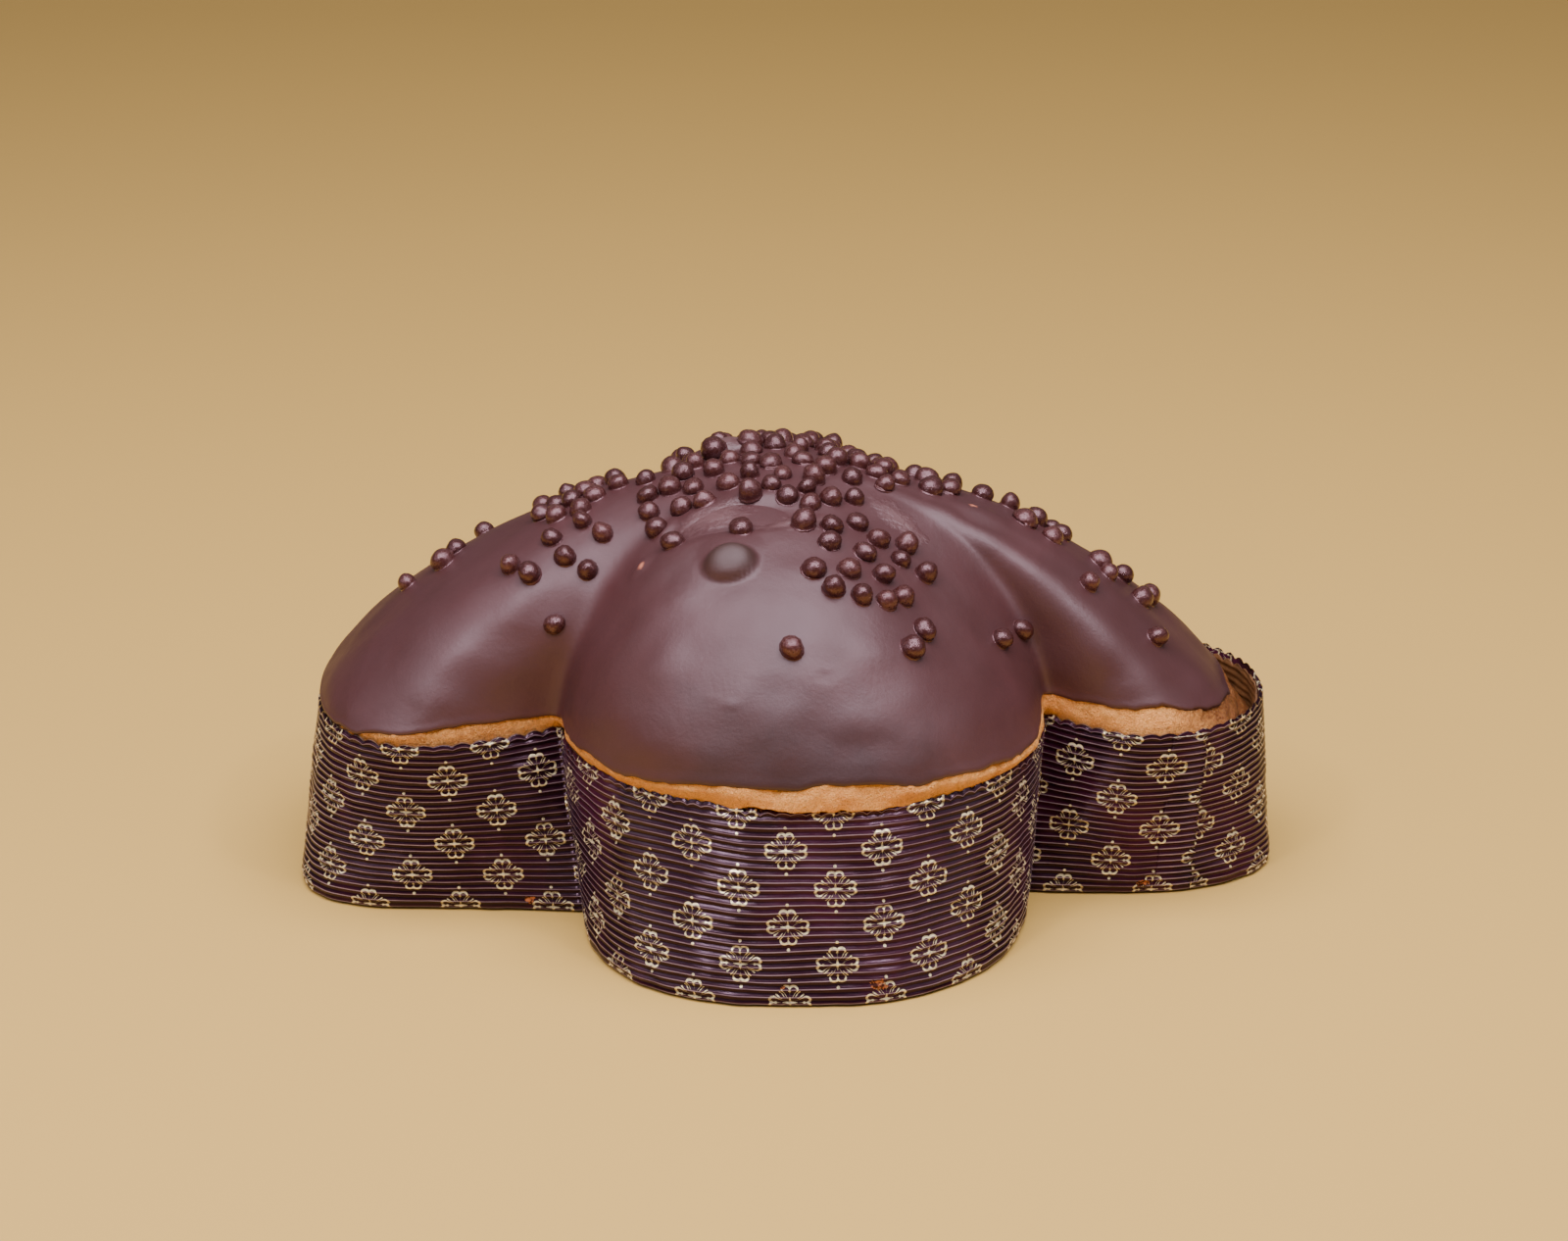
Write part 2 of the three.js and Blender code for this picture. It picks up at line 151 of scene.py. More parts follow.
# Pearls: showers are ovals in plan (x, y, half axes along and across, count), then single ones.
SHOWERS = [
    (4, 6, 40, 20, 34), (30, 8, 22, 16, 14), (-2, -18, 26, 10, 11), (-36, -8, 9, 20, 9),
    (24, -38, 24, 8, 13), (20, -54, 14, 10, 7), (-66, 6, 15, 14, 15), (-64, -22, 9, 9, 5),
    (-82, -26, 5, 6, 3), (-71, -35, 5, 5, 2), (60, 15, 14, 7, 6), (81, 6, 9, 12, 6),
    (104, 4, 9, 8, 6), (-4, 40, 36, 14, 14), (16, 62, 22, 12, 7),
]
STRAYS = [
    (-119, 6), (-104, 10), (-107, 4), (92, -18), (113, -20), (71, -29), (64, -41), (1, -79),
    (36, -70), (40, -61), (-14, -40), (-34, -37), (-44, 58), (-96, 27), (66, 34), (-8, 82),
]
PEARL_APART = 7.2  # millimetres between two pearls' middles


# ---------------------------------------------------------------- settings


class CaseSettings(bpy.types.PropertyGroup):
    """Sizes and colours of the paper case."""

    ridges: IntProperty(name="Ridges", description="Pleats from floor to rim", default=26, min=4)
    ridge_depth: FloatProperty(
        name="Ridge depth", description="From a pleat's crest to its groove", default=0.0007,
        unit="LENGTH")
    tooth_depth: FloatProperty(
        name="Tooth depth", description="Of the pinked rim", default=0.0011, unit="LENGTH")
    flower_spacing: FloatProperty(
        name="Flower spacing", description="Between flowers of one row", default=0.0286,
        unit="LENGTH")
    row_spacing: FloatProperty(
        name="Row spacing", description="Between rows of flowers", default=0.0116, unit="LENGTH")
    first_row: FloatProperty(
        name="First row", description="Height of the lowest row of flowers", default=0.0018,
        unit="LENGTH")
    paper: FloatVectorProperty(
        name="Paper", description="Printed ground", subtype="COLOR",
        default=(0.030, 0.0062, 0.0175))
    # Painted highlight: the pale colour of lines painted on the pleats' crests.
    crest_highlight: FloatVectorProperty(
        name="Worn", description="Ground where the pleats' crests are rubbed", subtype="COLOR",
        default=(0.46, 0.37, 0.47))
    gold: FloatVectorProperty(
        name="Gold", description="Printed flowers", subtype="COLOR", default=(1.0, 0.88, 0.54))
    kraft: FloatVectorProperty(
        name="Kraft", description="Lining", subtype="COLOR", default=(0.17, 0.070, 0.022))


class CakeSettings(bpy.types.PropertyGroup):
    """Relief and colours of crust and glaze."""

    crust: FloatVectorProperty(
        name="Crust", description="Baked dough", subtype="COLOR", default=(1.0, 0.46, 0.125))
    # Also the base, darkened, of the crust's grain and of its painted shade.
    toasted: FloatVectorProperty(
        name="Toasted", description="Darker baked patches", subtype="COLOR",
        default=(0.80, 0.29, 0.060))
    glaze: FloatVectorProperty(
        name="Glaze", description="Chocolate glaze", subtype="COLOR",
        default=(0.055, 0.0165, 0.0172))
    swell: FloatProperty(
        name="Swell", description="Height of the glaze's broad waves", default=0.0003,
        unit="LENGTH")


class PearlSettings(bpy.types.PropertyGroup):
    """Size, seed and colour of the chocolate pearls."""

    radius: FloatProperty(
        name="Radius", description="Mean radius of a pearl", default=0.0036, unit="LENGTH")
    sunk: FloatProperty(
        name="Sunk", description="Most that a pearl sits deeper", default=0.0007, unit="LENGTH")
    seed: IntProperty(name="Seed", description="Of the pearls' places", default=20117)
    colour: FloatVectorProperty(
        name="Colour", description="Chocolate of the pearls", subtype="COLOR",
        default=(0.040, 0.0100, 0.0092))


class StageSettings(bpy.types.PropertyGroup):
    """Floor, lights and camera."""

    floor: FloatVectorProperty(
        name="Floor", description="Plain floor", subtype="COLOR", default=(0.66, 0.42, 0.115))
    key_power: FloatProperty(
        name="Key power", description="Of the large soft light", default=27.0, unit="POWER")
    side_power: FloatProperty(
        name="Side power", description="Of the light on the left", default=4.5, unit="POWER")
    fill_power: FloatProperty(
        name="Fill power", description="Of the light on the other side", default=2.0, unit="POWER")
    glint_power: FloatProperty(
        name="Glint power", description="Of the two small lights", default=2.4, unit="POWER")


# ---------------------------------------------------------------- outlines


def smooth(low, high, value):
    """Eases from 0 at low to 1 at high as 3t^2 - 2t^3."""
    t = np.clip((value - low) / (high - low), 0, 1)
    return t * t * (3 - 2 * t)


def along(stations, place):
    """The value at a place among stations, easing from each station to the next."""
    stations = np.array(stations, float)
    after = np.clip(np.searchsorted(stations[:, 0], place, side="left"), 1, len(stations) - 1)
    before, ahead = stations[after - 1], stations[after]
    share = smooth(0, 1, (place - before[:, 0]) / (ahead[:, 0] - before[:, 0]))
    return before[:, 1] + (ahead[:, 1] - before[:, 1]) * share


def power(value, exponent):
    """The signed power: the value's sign times its size to the exponent."""
    return np.sign(value) * np.abs(value) ** exponent


def lobe(centre, reach, half, power_of, notch):
    """A lobe's end, a quarter superellipse, and then its side, which eases to the notch as
    s^1.5."""
    s = np.linspace(0, 1, 201)
    end = np.c_[centre + reach * power(np.cos(s * np.pi / 2), 2 / power_of),
                -half * power(np.sin(s * np.pi / 2), 2 / power_of)]
    side = np.c_[centre + (notch[0] - centre) * s, -(half + (notch[1] - half) * s**1.5)][1:]
    return np.vstack([end, side])


def wing(plan, head_notch, tail_notch):
    """The near wing's superellipse from one notch to the other. Its half width changes from the
    tail's side to the head's by a tanh of the cosine, so that it meets both."""
    depth, reach, exponent = plan["depth"], plan["reach"], plan["power"]

    def angle_at(y):
        return np.arcsin(power((y - depth) / reach, exponent / 2))

    def middle_at(y):
        return plan["middle"] + plan["sweep"] * np.clip((y - depth) / reach, 0, 1)

    start, stop = angle_at(head_notch[1]), np.pi - angle_at(tail_notch[1])
    head_half = (head_notch[0] - middle_at(head_notch[1])) / np.cos(start) ** (2 / exponent)
    tail_half = (middle_at(tail_notch[1]) + tail_notch[0]) / np.abs(np.cos(stop)) ** (2 / exponent)
    angle = np.linspace(start, stop, 401)
    half = tail_half + (head_half - tail_half) * (0.5 + 0.5 * np.tanh(3 * np.cos(angle)))
    y = depth + reach * power(np.sin(angle), 2 / exponent)
    return np.c_[middle_at(y) + half * power(np.cos(angle), 2 / exponent), -y]


def evenly(line, count):
    """Points at even steps along a polyline, its last point left out."""
    run = np.r_[0, np.cumsum(np.hypot(*np.diff(line, axis=0).T))]
    at = np.linspace(0, run[-1], count + 1)[:-1]
    return np.c_[np.interp(at, run, line[:, 0]), np.interp(at, run, line[:, 1])]


def outline(plan, fineness):
    """The closed outline with `fineness` points to a tooth, from the head's end along the near side
    to the tail's end and back along the far side."""
    head, tail = plan["head"], plan["tail"]
    head_line = lobe(head["centre"], head["reach"], head["half"], head["power"], head["notch"])
    tail_line = lobe(tail["centre"], tail["reach"], tail["half"], tail["power"], tail["notch"])
    tail_line = tail_line[::-1] * [-1, 1]
    near = np.vstack([
        evenly(head_line, TEETH["head"] * fineness),
        evenly(wing(plan["wing"], head["notch"], tail["notch"]), TEETH["wing"] * fineness),
        evenly(tail_line, TEETH["tail"] * fineness),
    ])
    return np.vstack([near, tail_line[-1:], near[:0:-1] * [1, -1]])


def places(fineness):
    """Each point's place from 0 to 3, whole numbers at the head's end, the notches and the tail."""
    near = np.concatenate([
        section + np.arange(TEETH[part] * fineness) / (TEETH[part] * fineness)
        for section, part in enumerate(("head", "wing", "tail"))
    ])
    return np.concatenate([near, [3.0], near[:0:-1]])


def outward(ring, mitred=False):
    """Each point's outward normal in plan, the mean of its two edges' normals. Where mitred, it is
    longer at a corner, as a mitre is, so that both sides move by the same distance."""
    edge = np.roll(ring, -1, axis=0) - ring
    normal = np.c_[-edge[:, 1], edge[:, 0]]
    normal /= np.linalg.norm(normal, axis=1, keepdims=True)
    mean = normal + np.roll(normal, 1, axis=0)
    mean /= np.linalg.norm(mean, axis=1, keepdims=True)
    return mean / (mean * normal).sum(axis=1, keepdims=True) if mitred else mean


def softened(ring, reach):
    """The outline with its creases rounded by a bell-shaped average over neighbours."""
    steps = np.arange(-reach, reach + 1)
    weights = np.exp(-0.5 * (steps / (BELL * reach)) ** 2)
    weights /= weights.sum()
    return sum(w * np.roll(ring, -k, axis=0) for w, k in zip(weights, steps))


def waves(points, length, seed, count=18):
    """Smooth noise of about unit size: a sum of sine waves with even random directions and phases,
    each 0.7 to 1.5 times `length` long."""
    draw = np.random.default_rng(seed)
    direction = draw.normal(size=(count, points.shape[-1]))
    direction /= np.linalg.norm(direction, axis=1, keepdims=True)
    number = 2 * np.pi / (length * draw.uniform(0.7, 1.5, count))
    phase = draw.uniform(0, 2 * np.pi, count)
    angle = points @ (direction * number[:, None]).T + phase
    return np.cos(angle).sum(axis=-1) * np.sqrt(2 / count)


def layered(points, layers):
    """A sum of waves, one for each size, length and seed."""
    return sum(size * waves(points, length, seed) for size, length, seed in layers)


# ---------------------------------------------------------------- dome


def dome_columns(fineness):
    """The dome's columns, one for each point of the outline: place, angle and radius about the
    summit at the floor's outline, lean of the crust over it, and the profile's powers and oval
    radius."""
    reach = round(SOFT_TEETH * fineness)
    place = places(fineness)
    rim = outline(RIM, fineness)
    foot = softened(outline(FOOT, fineness), reach)
    crust = softened(rim + outward(rim) * along(CRUST_OUT, place)[:, None] * MM, reach)
    dx, dy = foot[:, 0] - SUMMIT_X, foot[:, 1]
    radius = np.hypot(dx, dy)
    cosine, sine = dx / radius, dy / radius
    shares = {"head": smooth(*LOBE_BLEND, cosine), "tail": smooth(*LOBE_BLEND, -cosine)}
    shares["wing"] = 1 - shares["head"] - shares["tail"]
    reach_x = np.where(cosine > 0, dx.max(), -dx.min())
    return {
        "place": place, "radius": radius, "cosine": cosine, "sine": sine, "lean": crust - foot,
        "plan_power": sum(shares[part] * DOME_POWERS[part][0] for part in shares),
        "height_power": sum(shares[part] * DOME_POWERS[part][1] for part in shares),
        "oval": dy.max() + (reach_x - dy.max()) * cosine**OVAL_POWER,
        "foot": along(CRUST_FOOT, place) * MM,
    }


def dome_points(columns, rise):
    """Points of the dome at a rise from 0 to a quarter turn, by row and column. The level line
    shrinks as cos(rise)^(2/n) and turns from the outline into an oval, and its height grows as
    sin(rise)^(2/k)."""
    shrink = np.maximum(np.cos(rise), 0) ** (2 / columns["plan_power"])
    oval, radius = columns["oval"], columns["radius"]
    out = shrink * (oval + (radius - oval) * shrink**CREASE_POWER)
    lean = shrink**LEAN_POWER
    climb = np.sin(rise) ** (2 / columns["height_power"])
    return np.stack([
        SUMMIT_X + out * columns["cosine"] + lean * columns["lean"][:, 0],
        out * columns["sine"] + lean * columns["lean"][:, 1],
        columns["foot"] + (TOP_Z - columns["foot"]) * climb,
    ], axis=-1)


def rise_at(columns, height):
    """The rise at which each column reaches a height above the floor: the climb's inverse."""
    share = np.clip((height - columns["foot"]) / (TOP_Z - columns["foot"]), 0, 1)
    return np.arcsin(share ** (columns["height_power"] / 2))


def glaze_edge(columns):
    """Height of the glaze's uneven lower edge: its stations and waves of three lengths."""
    ring = columns["radius"][:, None] * np.c_[columns["cosine"], columns["sine"]]
    ragged = np.clip(layered(ring, EDGE_WAVES), -EDGE_MOST, EDGE_MOST)
    edge = along(GLAZE_EDGE, columns["place"]) + ragged
    return columns["foot"] + np.maximum(edge, EDGE_LOWEST) * MM


def dome_rows(columns, levels, edge):
    """The dome at levels from -1, the crust's foot, through 0, the glaze's edge, to 1, the summit,
    with outward normals from the differences of neighbours, and the way up."""
    levels = np.asarray(levels)[:, None]
    at_edge = np.maximum(rise_at(columns, edge), LEAST_RISE)
    rise = np.where(levels < 0, at_edge * (1 + levels), at_edge + (np.pi / 2 - at_edge) * levels)
    points = dome_points(columns, rise)
    across = np.roll(points, -1, axis=1) - np.roll(points, 1, axis=1)
    up = np.gradient(points, axis=0)
    normal = np.cross(up, across)
    normal /= np.linalg.norm(normal, axis=-1, keepdims=True)
    up /= np.linalg.norm(up, axis=-1, keepdims=True)
    return points, normal, up


def relief(points):
    """Lumps and hollows along the normal: each (1 - d^k)^1.5 of its own oval distance d, with k its
    steepness."""
    height = np.zeros(points.shape[:-1])
    for x, y, along_x, across_y, turn, steepness, rise in LUMPS:
        angle = np.radians(turn)
        dx, dy = points[..., 0] / MM - x, points[..., 1] / MM - y
        a = (dx * np.cos(angle) + dy * np.sin(angle)) / along_x
        b = (dy * np.cos(angle) - dx * np.sin(angle)) / across_y
        distance = np.minimum(np.hypot(a, b), 1)
        height += rise * MM * (1 - distance**steepness) ** 1.5
    return height


def glaze_rows(columns, levels, swell):
    """The glaze's outer face at levels from 0 to 1, with its broad waves, lumps and hollows: points
    before and after, normals and the way up."""
    points, normal, up = dome_rows(columns, levels, glaze_edge(columns))
    height = swell * layered(points, SWELL_WAVES)
    height = (height + relief(points)) * smooth(0, CALM_EDGE, levels)[:, None]
    height += BEAD * (1 - smooth(0, BEAD_LEVEL, levels))[:, None]
    return points, points + normal * height[..., None], normal, up


# ---------------------------------------------------------------- meshes


def quad_corners(gaps, columns):
    """The row and column of each corner of the quads that fill the gaps between closed rings."""
    row = np.arange(gaps)[:, None, None] + np.array([0, 1, 1, 0])
    column = np.arange(columns)[:, None] + np.array([0, 0, 1, 1])
    return np.broadcast_arrays(row, column)


def ring_quads(gaps, rows, columns):
    """The quads' point numbers, where a gap after the last ring leads back to the first."""
    row, column = quad_corners(gaps, columns)
    return (row % rows * columns + column % columns).reshape(-1, 4)


def end_fans(rows, columns):
    """Triangles that close the first ring on the point after all rings and the last on the next."""
    i = np.arange(columns)
    j = (i + 1) % columns
    end, top = np.full(columns, rows * columns), (rows - 1) * columns
    return np.vstack([np.stack([end, i, j], -1), np.stack([end + 1, top + j, top + i], -1)])


def surface(name, rings, ends=None, capped=False, uv=None, values=None):
    """A mesh from rings of points, each ring closed and joined to the next. The first and last ring
    close on the two end points or, capped, are filled with a face each, or else join each other. uv
    has one more column than the rings, so that a pattern can end where it began. values are named
    numbers for each point."""
    rows, columns = rings.shape[:2]
    points = rings.reshape(-1, 3)
    gaps = rows - 1 if capped or ends else rows
    faces = ring_quads(gaps, rows, columns).tolist()
    if capped:
        ring = np.arange(columns)
        faces += [ring.tolist(), ((rows - 1) * columns + ring[::-1]).tolist()]
    elif ends:
        faces += end_fans(rows, columns).tolist()
        points = np.vstack([points, ends])
    mesh = bpy.data.meshes.new(name)
    mesh.from_pydata(points.tolist(), [], faces)
    mesh.shade_smooth()
    if uv is not None:
        row, column = quad_corners(gaps, columns)
        corners = np.zeros((len(mesh.loops), 2), np.float32)
        corners[: row.size] = uv[row % rows, column].reshape(-1, 2)
        mesh.uv_layers.new(name="print").data.foreach_set("uv", corners.reshape(-1))
    for key, numbers in (values or {}).items():
        flat = np.zeros(len(points), np.float32)
        flat[: rows * columns] = np.broadcast_to(numbers, (rows, columns)).reshape(-1)
        mesh.attributes.new(key, "FLOAT", "POINT").data.foreach_set("value", flat)
    return place_in_scene(name, mesh)


def place_in_scene(name, mesh):
    """An object at the origin that holds the mesh."""
    thing = bpy.data.objects.new(name, mesh)
    bpy.context.scene.collection.objects.link(thing)
    return thing


def dress(piece, material, node):
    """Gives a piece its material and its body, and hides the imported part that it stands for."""
    piece.data.materials.append(material)
    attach(piece, "root")
    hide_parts(node)


# ---------------------------------------------------------------- case


CASE_FINENESS = 4  # points to a tooth
RIM_STRETCH = 0.004  # height of wall that is drawn out to the pinked rim
RIM_SWINGS = [(0.6, 7, 0.6), (0.4, 17, 2.5)]  # the rim's slow waves: share, turns and phase
TOOTH_SWINGS = [(0.3, 23, 0), (0.2, 41, 1)]  # and those of its teeth's depth

# Rows of the pleats, as shares of one, and heights of the print's back.
PLEAT_ROWS = [0, 0.27, 0.5, 0.69, 0.87]
BACK_ROWS = [RIM_Z, RIM_Z - 0.002, 0.03, 0.003, 0.001]
DRIFT_FOOT = 0.01  # the pleats wave only above this height
DRIFT_RIM = (0.009, 0.003)  # and stop between these depths under the rim
DENT_LIMITS = (-0.0002, 0.0004)
BACK_DROP = 0.002  # under the rim, the back goes clear of the pleats' grooves over this depth

# The lining: its gap from the print's grooves, its lower edge's rise and how much further in it
# lies on the floor, the heights of its rows, the depth of its pleats as a share of the print's, and
# how far its rim is lowered at the head's end, which eases out between two counts of teeth.
LINING_GAP = 0.00025
LINING_EDGE = (0.0012, 0.0008)
LINING_OUTSIDE = [0.003, 0.02, 0.04, RIM_Z]
LINING_INSIDE = [*np.linspace(RIM_Z, 0.042, 49), 0.02, 0.003]
LINING_PLEAT = 0.6
HEAD_DROP = 0.0016
HEAD_TEETH = (6, 12)

# The flap of the glued seam.
SEAM_WIDTH = 0.011
SEAM_TOP = 0.0012  # under the rim
SEAM_ROWS = 8  # to a pleat
SEAM_LIFT = 0.00055  # of its free edge off the print
SEAM_STUCK = 0.0004  # less lift at its far side
SEAM_SLANT = 0.0013  # of its cut edge, from foot to rim
SEAM_JAG = (0.0003, 0.0047)  # size and length of the cut's waves
SEAM_THICK = 0.0003

# The print: run from the seam to a flower's middle, and stations of run and shift, in millimetres,
# by which the strip is drawn together where it passes a notch.
FIRST_FLOWER = 0.247 - SEAM_RUN
PRINT_SHIFT = np.array([
    (0, -8), (51.3, -8), (51.6, -1), (80, 1.2), (275.4, 1.2), (275.8, 5.5), (392, 8), (780, -6.3),
    (1000, -6.3),
], float)


def wall_columns(fineness):
    """The case wall's columns from the glued seam round to it again: points at floor and rim,
    outward normals, run along the wall and index along the outline."""
    foot, rim = outline(FOOT, fineness), outline(RIM, fineness)
    middle = 0.5 * (foot + rim)
    step = np.hypot(*(np.roll(middle, -1, axis=0) - middle).T)
    run = np.r_[0, np.cumsum(step)]
    start = int(np.searchsorted(run, SEAM_RUN))
    order = np.roll(np.arange(len(foot)), -start)
    return {
        "foot": foot[order], "rim": rim[order], "out": outward(middle, mitred=True)[order],
        "run": np.r_[0, np.cumsum(step[order])], "index": order,
    }


def swings(turn, layers):
    """A sum of sines round the rim, one for each share, number of turns and phase."""
    return sum(share * np.sin(turns * turn + phase) for share, turns, phase in layers)


def rim_line(index, tooth_depth):
    """Height of the pinked rim: slow waves and a scallop every few points, each a sine's half wave,
    some deeper than others."""
    turn = 2 * np.pi * index / (2 * sum(TEETH.values()) * CASE_FINENESS)
    depth = tooth_depth * (1 + swings(turn, TOOTH_SWINGS))
    scallop = 1 - np.abs(np.sin(np.pi * index / CASE_FINENESS))
    return RIM_Z + RIM_WAVE * swings(turn, RIM_SWINGS) - depth * scallop


def wall_points(columns, height, inset):
    """Points of the wall, ruled from the floor's outline to the rim's, at each height and inset."""
    share = (height / RIM_Z)[..., None]
    plan = columns["foot"] + (columns["rim"] - columns["foot"]) * share
    plan = plan - columns["out"] * inset[..., None]
    return np.concatenate([plan, height[..., None]], axis=-1)


def foot_inset(height):
    """How far the wall turns in near the floor: a quarter ellipse."""
    below = np.clip(1 - height / FOOT_ROUND, 0, 1)
    return FOOT_INSET * (1 - np.sqrt(1 - below**2))


def ridge(height, ridges):
    """The pleats' profile by height, a cosine that is 1 on a crest and 0 in a groove."""
    return 0.5 - 0.5 * np.cos(2 * np.pi * height / RIM_Z * ridges)


def stretched_rows(heights, rim):
    """Rows at fixed heights whose last few are drawn out to the rim's own line."""
    heights = np.asarray(heights)[:, None]
    knee = RIM_Z - RIM_STRETCH
    share = np.clip((heights - knee) / (RIM_Z - knee), 0, 1)
    return np.where(share > 0, knee + share * (rim - knee), heights)


def print_places(run, heights, settings):
    """The print's coordinates, in flowers along the wall and rows of them up it."""
    shift = np.interp(run / MM, *PRINT_SHIFT.T) * MM
    u = (run + shift - FIRST_FLOWER) / settings.flower_spacing
    v = (heights - settings.first_row) / settings.row_spacing
    return np.stack(np.broadcast_arrays(u, v), -1)


def make_print(settings):
    """The printed outer sheet of the wall: its pleats, which wave and dent by a fraction of a
    millimetre, up to the pinked rim, over it and down its back."""
    columns = wall_columns(CASE_FINENESS)
    rim = rim_line(columns["index"], settings.tooth_depth)
    steps = np.array(PLEAT_ROWS) / settings.ridges
    level = (np.arange(settings.ridges)[:, None] / settings.ridges + steps).ravel()
    level = np.r_[level, 1] * RIM_Z
    heights = stretched_rows(level, rim)
    strip = np.stack([np.broadcast_to(columns["run"][:-1], heights.shape), heights], -1)
    held = smooth(RIM_Z - DRIFT_RIM[0], RIM_Z - DRIFT_RIM[1], heights)
    free = smooth(0, DRIFT_FOOT, heights) * (1 - held)
    heights = heights + layered(strip, PLEAT_DRIFT) * free
    crest = np.broadcast_to(ridge(level, settings.ridges)[:, None], heights.shape)
    dents = np.clip(layered(strip, PAPER_DENTS), *DENT_LIMITS)
    inset = settings.ridge_depth * (1 - crest) - dents
    outer = wall_points(columns, heights, inset + foot_inset(heights))
    back_heights = stretched_rows(BACK_ROWS, rim)
    clear = smooth(RIM_Z, RIM_Z - BACK_DROP, back_heights)
    behind = HAIR + SHEET + settings.ridge_depth * clear
    back = wall_points(columns, back_heights, behind + foot_inset(back_heights))
    all_heights = np.vstack([heights, back_heights])
    return surface(
        "printed_case", np.vstack([outer, back]),
        uv=print_places(columns["run"], np.c_[all_heights, all_heights[:, :1]], settings),
        values={"crest": np.vstack([crest, np.full(back_heights.shape, 0.5)]),
                "run": columns["run"][:-1] + SEAM_RUN, "height": all_heights})


def make_lining(settings):
    """The kraft lining: a cup inside the print, its floor flat, its pleats showing near the rim."""
    columns = wall_columns(CASE_FINENESS)
    index = columns["index"]
    from_head = np.minimum(index, len(index) - index) / CASE_FINENESS
    drop = HEAD_DROP * (1 - smooth(*HEAD_TEETH, from_head))
    rim = rim_line(index, settings.tooth_depth) - HAIR - drop
    clear = SHEET + settings.ridge_depth + LINING_GAP
    outside = stretched_rows(LINING_OUTSIDE, rim)
    inside = stretched_rows(LINING_INSIDE, rim)
    strip = np.stack([np.broadcast_to(columns["run"][:-1], inside.shape), inside], -1)
    pleats = LINING_PLEAT * settings.ridge_depth * ridge(inside, settings.ridges)
    depth = clear + SHEET + pleats + layered(strip, LINING_FOLDS)

    def floor_ring(height, inset):
        level = np.full((1, len(rim)), height)
        return wall_points(columns, level, np.full_like(level, inset))

    rings = np.vstack([
        floor_ring(0.0, FOOT_INSET + LINING_EDGE[1]),
        floor_ring(LINING_EDGE[0], FOOT_INSET),
        wall_points(columns, outside, np.full_like(outside, clear)),
        wall_points(columns, inside, np.maximum(depth, clear + HAIR)),
        floor_ring(PAPER, FOOT_INSET + PAPER + LINING_EDGE[0]),
    ])
    return surface("case_lining", rings, ends=[(SUMMIT_X, 0, 0), (SUMMIT_X, 0, PAPER)])


def make_seam(settings):
    """The free end of the printed strip at the glued seam: a narrow flap over the strip's start,
    with the same pleats, lifting to its cut edge, which slants and waves."""
    columns = wall_columns(CASE_FINENESS)
    across = np.linspace(0, SEAM_WIDTH, 9)
    heights = np.linspace(HAIR, RIM_Z - SEAM_TOP, settings.ridges * SEAM_ROWS + 1)

    def at(key):
        closed = np.vstack([columns[key], columns[key][:1]])
        return np.stack([np.interp(across, columns["run"], closed[:, k]) for k in (0, 1)], -1)

    strip = {"foot": at("foot"), "rim": at("rim"), "out": at("out")}
    grid = np.broadcast_to(heights[:, None], (len(heights), len(across)))
    crest = ridge(grid, settings.ridges)
    lift = SEAM_LIFT - SEAM_STUCK * smooth(0.3, 1, across / SEAM_WIDTH)
    cut = SEAM_JAG[0] * np.sin(heights * 2 * np.pi / SEAM_JAG[1])
    cut += SEAM_SLANT * (1 - heights / RIM_Z)
    shift = cut[:, None] * (1 - across / SEAM_WIDTH)
    inset = settings.ridge_depth * (1 - crest) - lift + foot_inset(grid)
    tangent = np.stack([-strip["out"][:, 1], strip["out"][:, 0]], -1)

    def sheet(depth):
        points = wall_points(strip, grid, depth)
        points[..., :2] += tangent * shift[..., None]
        return points

    rings = np.concatenate([sheet(inset), sheet(inset + SEAM_THICK)[:, ::-1]], axis=1)
    run = np.r_[across, across[::-1], across[:1]]
    return surface("case_seam", rings, capped=True,
                   uv=print_places(run, heights[:, None], settings),
                   values={"crest": np.concatenate([crest, 0 * crest], axis=1)})


# ---------------------------------------------------------------- cake


CRUST_FINENESS = 4  # points to a tooth
BAND = np.linspace(-1, -0.06, 14)  # levels of the bare band, from its foot to the glaze
BAND_DEPTH = [(-1, 1.0), (-0.55, 0.45), (-0.06, 0.8)]  # millimetres inside the dome, by level
COVERED_DEPTH = 2.0  # and under the glaze
TUCK = (0.3, 0.6)  # places between which the band's foot goes in behind the paper,
TUCK_LEVELS = (-0.35, -1.0)  # the levels over which it does,
TUCK_DEPTH = 0.002  # and how far under the rim
DOUGH_LOW, DOUGH_DEPTH = 1.4 * FOOT_ROUND, 0.0025  # its wall starts there and ends under the rim
DOUGH_ROWS = np.array([0, 0.2, 0.6, 1.0])
SUNKEN = (0.25, 0.55)  # and up to which the dough has sunk at the head's end,
SUNKEN_DEPTH = 0.006  # by this much
LIP_SAG = (1.4, 0.8)  # millimetres, and of its waves,
LIP_LEVELS = (-0.5, -1.0)  # over these levels
LIP_RISE = [(0.15, 0.0022), (0.55, 0.0012), (0.85, 0.0003)]  # its way over the paper
SHADE_HEAD = (0.25, 0.75)  # places up to which painted shade darkens the crust at the head's end
SHADE_TAIL = (1.97, 2.1, 0.45)  # and from which painted shade darkens it a little round the tail
